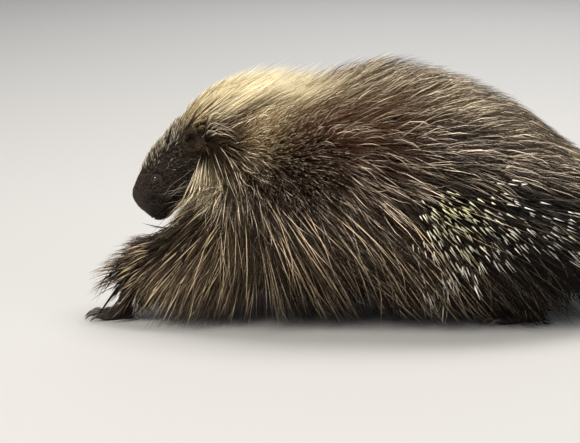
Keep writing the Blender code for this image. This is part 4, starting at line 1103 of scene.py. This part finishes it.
# Crest and back
# The long blond hair that rises from crown and nape and sweeps back over the shoulders, straight and
# standing out singly, and the brown, tan tipped hair of the back, which begins below and behind it.
crest_hair = hair_material("crest_hair", (46, 38, 29), (62, 48, 34), (255, 236, 188), 0.04, 0.18)
back_hair = hair_material("back_hair", (20, 13, 8), (46, 31, 20), (255, 234, 198), 0.25, 0.54)
on_crown = on_head & (face_forward < np.interp(face_above, (0.022, 0.030), (-0.019, -0.004)))
top_side = (on_trunk & (facing[:, 2] > -0.1)) | (on_crown & (face_above > -0.004))
in_crest = (1 - ease(face_angle - crest_edge, -6, 6)) * (1 - ease(face_x, -0.08, -0.02))
in_back = ease(face_x, -0.14, -0.08) * (1 - ease(face_angle, 34, 56)) * (1 - 0.85 * in_crest)
in_crest = in_crest * (1 + 1.8 * (1 - ease(face_x, -0.17, -0.10)))
for name, where, material, steps, hug in (
    ("crest", in_crest, crest_hair, 4, 0.0),
    ("back", in_back, back_hair, 3, 0.30),
):
    at, normals = sow(7000, top_side * where)
    x, angle = girth(at)
    depth = np.maximum(coat_depth(x), 0.010)
    ways = strayed(lie_on_trunk(at, normals), normals, 0.10)
    length = np.interp(x, (-0.215, -0.200, -0.180, -0.02, 0.20), (0.060, 0.105, 0.130, 0.108, 0.085))
    length *= dice.uniform(0.65, 1.15, len(at))
    if name == "crest":
        reached = np.interp(x + 0.85 * length, *TOP_LINE) + 0.008 - 0.060 * dice.random(len(at)) ** 0.8
        steepest = np.radians(np.interp(x, (-0.215, -0.175), (38, 25)) + 4 * dice.standard_normal(len(at)))
        climb = np.minimum(np.arcsin(np.clip((reached - at[:, 2]) / length, -0.1, 0.72)), steepest)
        rise = depth * dice.uniform(0.10, 0.45, len(at))
        beside = 0.25 * ease(angle, 44, 60)
    else:
        climb = np.radians(dice.uniform(-12, 5, len(at)) - fall_of(at))
        rise = depth * dice.uniform(0.35, 1.0, len(at))
        beside = ease(angle, 28, 58) * (0.35 + 0.65 * ease(x, -0.13, -0.06))
    straight = unit(np.stack([np.cos(climb), 0.16 * normals[:, 1], np.sin(climb)], 1))
    ways = unit(straight * (1 - beside[:, None]) + unit(ways + 0.2 * normals) * beside[:, None])
    paths = topped(comb(at, normals, ways, length, 0, rise, 0.004, hug, steps=steps, curl=0.03))
    marks = mark_of(at)
    pale = paleness(len(at), 0.16, 0.12) * (1 - 0.70 * marks["warm"])
    blond = (dice.random(len(at)) < 0.82 * marks["blond"]) * dice.uniform(0.7, 1.0, len(at))
    pale = np.maximum(pale, blond)
    paths = gather(paths, 7, 0.50)
    spun("coat_" + name, at, normals, paths, thickness(pale) * finer(at), pale, material)

# Short shoulder hairs
# A patch of short stiff hairs on each shoulder behind the whorl, of which only the golden tips show, like
# ticks, between the crest above and the long hair below.
tick_hair = hair_material("tick_hair", (12, 8, 5), (46, 29, 17), (255, 242, 214), 0.86, 0.90)
density = spot(face_x, -0.092, 0.048, face_angle, 72, 15)
density = on_trunk * (density + 1.4 * spot(face_x, -0.128, 0.020, face_angle, 60, 11))
for side, word in SIDES:
    at, normals = sow(1500, density * (face_side == side) * (density > 0.10))
    x = at[:, 0] + MIDDLE_X
    ways = strayed(lie_on_trunk(at, normals), normals, 0.24)
    rise = coat_depth(x) * np.interp(x, (-0.16, -0.10), (0.50, 0.90)) * dice.uniform(0.80, 1.08, len(at))
    length = np.interp(x, (-0.16, -0.10), (0.034, 0.060)) * dice.uniform(0.8, 1.1, len(at))
    paths = comb(at, normals, ways, length, 32, rise, 0.02, 0.1, steps=3)
    spun(
        "shoulder_ticks_" + word, at, normals, paths, 0.00090 * dice.uniform(0.6, 1.2, len(at)),
        dice.random(len(at)) ** 0.7, tick_hair, shape=(0.8, 1.0, 1.0),
    )

# Quills
# Hollow stiff spines on the rump, the rear of the flanks and the top of the tail. Each is black at its
# root and its barbed point, and cream or greenish yellow between; they lie back among black hair.
QUILL_BAND = (246, 240, 226)
quill_horn = hair_material("quill_horn", (12, 9, 8), (16, 12, 10), QUILL_BAND, 0.63, 0.69, 0.32)
tree = quill_horn.node_tree
shader = tree.nodes["Principled BSDF"]
colours = shader.inputs["Base Color"].links[0].from_node
greenish = value_of(tree, "green")
fill(tree, colours, {"Band": mixed(tree, greenish, rgb(*QUILL_BAND), rgb(216, 212, 140))})
for name, plain, green in (("Band Start", 0.63, 0.54), ("Band End", 0.69, 0.60)):
    shifted = add(tree, "ShaderNodeMapRange", {"Value": greenish, "To Min": plain, "To Max": green})
    fill(tree, colours, {name: shifted["Result"]})
near_point = {"Value": value_of(tree, "along"), "From Min": 0.92, "From Max": 0.96}
point = add(tree, "ShaderNodeMapRange", near_point)["Result"]
tipped = mixed(tree, point, colours.outputs["Colour"], rgb(14, 12, 12))
fill(tree, shader, {"Base Color": tipped})
density = ease(face_x, 0.035, 0.080) * (1 - ease(face_x, 0.270, 0.300))
density = density * ease(face_angle, 76, 92) * (1 - ease(face_angle, 134, 142))
density = density + 0.6 * spot(face_x, 0.150, 0.020, face_angle, 76, 8)
density = density * (1 - 0.55 * ease(face_angle, 100, 122))
density = density * (1 - ease(face_x, 0.22, 0.26) * ease(face_angle, 98, 106))
density = density * (0.6 + 0.7 * spot(face_x, 0.095, 0.035, face_angle, 88, 16))
on_tail = 0.6 * (face_x > 0.285) * (face_x < 0.44) * (face_angle < 95)
at, normals = sow(1000, on_trunk * np.maximum(density, on_tail))
x, angle = girth(at)
ways = strayed(lie_on_trunk(at, normals), normals, 0.24)
length = np.where(x < 0.285, 0.058, 0.046) * dice.uniform(0.6, 1.2, len(at))
length = length * (1 + 0.25 * ease(angle, 90, 115))
rise = coat_depth(x) * dice.uniform(0.75, 1.15, len(at)) * (1 + 0.25 * ease(angle, 90, 112))
paths = comb(at, normals, ways, length, 32, rise, 0.02, 0.2, steps=3, sunk=0.003)
width = 0.0020 * dice.uniform(0.7, 1.15, len(at))
tone, pale = dice.uniform(0.3, 1.0, len(at)), dice.uniform(0.75, 1.0, len(at))
fresh = dice.uniform(0.5, 1.0, len(at))
spun(
    "quills", at, normals, paths, width, pale, quill_horn, shape=(0.7, 1.0, 0.95), flat=1.0, sides=5,
    tone=tone, green=fresh * spot(x, 0.095, 0.040, angle, 86, 18), blond=0.0, warm=0.0, black=0.0,
)

# Tail
# A short thick tail carried low, with stiff bristly dark hair that has tan tips.
at, normals = sow(2600, on_trunk * (face_x > 0.27))
x = at[:, 0] + MIDDLE_X
ways = strayed(lie_on_trunk(at, normals), normals, 0.14)
rise = coat_depth(x) * dice.uniform(0.4, 1.0, len(at))
paths = comb(at, normals, ways, 0.050 * dice.uniform(0.7, 1.15, len(at)), 24, rise, 0.04, 0.3, steps=3)
pale = paleness(len(at), 0.35, 0.12)
paths = gather(paths, 10, 0.35)
spun("tail_hair", at, normals, paths, thickness(pale), pale, guard, "tail_coat", shape=SHAGGY_SHAPE)

# Legs and feet
# Shaggy hair down all four legs, longest over the reaching foreleg, where it hangs as a lobe in front of
# the chest and below the leg to the ground, and short close hair over the feet as far as the claws.
leg_hair = hair_material("leg_hair", (12, 8, 5), (48, 35, 25), (226, 200, 162), 0.28, 0.76)


def unrolled_limb(at):
    """Places on a leg, unrolled round it, each leg in its own strip of the bake's map."""
    fore = at[:, 0] < -0.1
    strip = fore * 2 + (at[:, 1] > 0)
    turn = np.arctan2(at[:, 1] - np.sign(at[:, 1]) * 0.062, at[:, 0] - np.where(fore, -0.25, 0.10))
    return np.stack([(strip + 0.02 + 5.5 * at[:, 2]) / 4, 0.01 + 0.97 * (turn / (2 * math.pi) + 0.5)], 1)


at, normals = sow(5200, is_part(*limbs) * (1 + 2.6 * is_part("foreleg_left")))
x, height = at[:, 0] + MIDDLE_X, at[:, 2]
reaching = ((at[:, 1] < 0) & (x < -0.06)).astype(float)
hind = (x > 0).astype(float)
outer = ease(-x, 0.17, 0.24) * reaching
near_foot = (1 - ease(height, 0.020, 0.052)) * (1 - reaching)
forearm = ease(-x, 0.195, 0.235) * ease(normals[:, 2] - 0.6 * normals[:, 0], -0.1, 0.5) * reaching
ways = np.stack([0.75 * hind - 0.35 - 0.15 * reaching - 0.55 * outer, 0 * x, -1.0 + 0.45 * outer], 1)
ways = ways * (1 - forearm[:, None]) + np.array((-1.0, 0.0, -0.10)) * forearm[:, None]
ways = strayed(laid(ways, normals), normals, 0.18)
curtain = np.clip(1.30 * height * (1 - outer) + 0.045 * outer, 0.04, 0.125)
length = (0.036 + 0.030 * hind + (curtain - 0.036) * reaching) * (1 - 0.60 * near_foot)
length = length * dice.uniform(0.7, 1.2, len(at))
on_top = ease(normals[:, 2], 0.0, 0.7) * reaching * (1 - forearm)
rise = (0.010 + 0.010 * reaching * (1 - on_top) + 0.008 * hind) * (1 - 0.7 * near_foot)
rise = rise * dice.uniform(0.4, 1.1, len(at)) + 0.004 * forearm * dice.random(len(at))
lift, hug = 24 - 14 * on_top, 0.55 * on_top
paths = comb(at, normals, ways, length, lift, rise, 0.15, hug, steps=3, sunk=0.001, curl=0.09)
pale = paleness(len(at), 0.18, 0.13)
spun(
    "leg_hair", at, normals, gather(paths, 12, 0.45), thickness(pale), pale, leg_hair, "leg_coat",
    shape=SHAGGY_SHAPE, unwrap=unrolled_limb,
)
on_foot = is_part(*(name + "_foot" for name in limbs)) * (middles[:, 2] > SOLE_HEIGHT) * (facing[:, 2] > -0.3)
at, normals = sow(1900, on_foot)
ways = strayed(laid((-1.0, 0.0, -0.25), normals), normals, 0.2)
length = 0.0075 * dice.uniform(0.7, 1.3, len(at))
rise = 0.0016 * dice.uniform(0.4, 1.2, len(at))
paths = comb(at, normals, ways, length, 22, rise, 0.1, 0.3, steps=2, sunk=0.0006)
spun(
    "foot_hair", at, normals, paths, 0.0009 * dice.uniform(0.7, 1.2, len(at)), 0.3 * dice.random(len(at)),
    leg_hair, "leg_coat", shape=(0.9, 0.8), flat=0.6, unwrap=unrolled_limb,
)

# Face fur
# Close dark fur that lies back from the nose over muzzle, cheeks and ears, with short cream tipped
# bristles along the forehead that lengthen into the crest, and pale wisps behind the eye.
face_hair = hair_material("face_hair", (13, 9, 7), (36, 26, 20), (172, 150, 126), 0.3, 1.0, 0.5)
density = on_head * (face_forward > face_edge - 0.014) * (1 - ease(face_forward, 0.091, 0.097))
from_eye = np.linalg.norm(np.stack([face_forward, face_out, face_above], 1) - EYE_AT, axis=1)
density = density * (from_eye > 0.0085) * (1 + ease(face_forward, 0.03, 0.06)) + 2.2 * is_part("ear")
at, normals = sow(6600, density)
forward, out, above = in_head(at)
ways = -HEAD_AHEAD + np.stack([0 * out, 0 * out, -0.35 * ease(out, 0.01, 0.03)], 1)
ways = strayed(laid(ways, normals), normals, 0.18)
length = np.interp(forward, (-0.01, 0.03, 0.06, 0.09), (0.010, 0.009, 0.0070, 0.0035))
length = length * dice.uniform(0.7, 1.25, len(at))
from_ear = (np.stack([forward, out, above], 1) - EAR_CENTRE) / EAR_RADII
on_ear = 1 - ease(np.linalg.norm(from_ear, axis=1), 1.15, 1.40)
shorter = length * (1 - 0.35 * on_ear)
paths = comb(at, normals, ways, shorter, 16, 0.14 * length, 0.03, steps=2, sunk=0.0006, curl=0.1)
width = np.interp(forward, (0.0, 0.09), (0.0009, 0.0006)) * dice.uniform(0.7, 1.2, len(at))
pale = (1 - 0.8 * on_ear) * dice.random(len(at)) ** 1.6
spun("face_fur", at, normals, paths, width, pale, face_hair, "face", shape=(0.9, 0.8), flat=0.6)
bristle = hair_material("bristle_hair", (20, 14, 10), (50, 37, 28), (246, 232, 204), 0.25, 0.60)
brow_line = ease(face_above, 0.018, 0.027) * (1 - ease(face_forward, 0.062, 0.074)) * (face_forward > -0.010)
temple = spot(face_forward, 0.034, 0.013, face_above, 0.008, 0.009)
behind_ear = spot(face_forward, -0.024, 0.007, face_above, 0.010, 0.014)
density = np.maximum(np.maximum(1.3 * brow_line, 0.20 * temple), 1.5 * behind_ear)
at, normals = sow(1050, on_head * density)
forward = in_head(at)[0]
ways = strayed(laid(-HEAD_AHEAD, normals), normals, 0.26)
length = np.interp(forward, (-0.01, 0.0, 0.03, 0.065), (0.034, 0.020, 0.016, 0.010))
length = length * dice.uniform(0.7, 1.2, len(at))
rise = np.where(forward < -0.008, 0.010, 0.24 * length)
paths = topped(comb(at, normals, ways, length, 27, rise, 0.0, 0.1, steps=3, sunk=0.0006, curl=0.16))
spun(
    "forehead_bristles", at, normals, paths, 0.00055 * dice.uniform(0.7, 1.2, len(at)),
    paleness(len(at), 0.20, 0.40), bristle, "face", shape=(0.9, 1.0, 0.8), black=0.3,
)

# Whiskers
# Long fine stiff hairs from pads on each side of the muzzle, swept back over the cheek, pale to their tips.
whisker_hair = hair_material("whisker_hair", (30, 24, 20), (84, 70, 56), (236, 224, 202), 0.20, 0.60, 0.35)
pads = on_head * spot(face_forward, 0.080, 0.011, face_above, -0.010, 0.010)
at, normals = sow(26, pads * (face_out > 0.010) * (pads > 0.2))
side = np.sign(at[:, 1])
ways = unit(-HEAD_AHEAD + np.stack([0 * side, 0.26 * side, -0.12 + 0 * side], 1))
ways = strayed(ways, normals, 0.26)
length = dice.uniform(0.035, 0.085, len(at))
paths = comb(at, normals, ways, length, 8, 0.006, 0.02, 0.0, steps=5, sunk=0.001, curl=0.08)
spun(
    "whiskers", at, normals, paths, 0.00040, dice.uniform(0.6, 1.0, len(at)), whisker_hair, "face",
    shape=(1.0, 0.9, 0.8, 0.65, 0.5), flat=1.0, black=0.0,
)
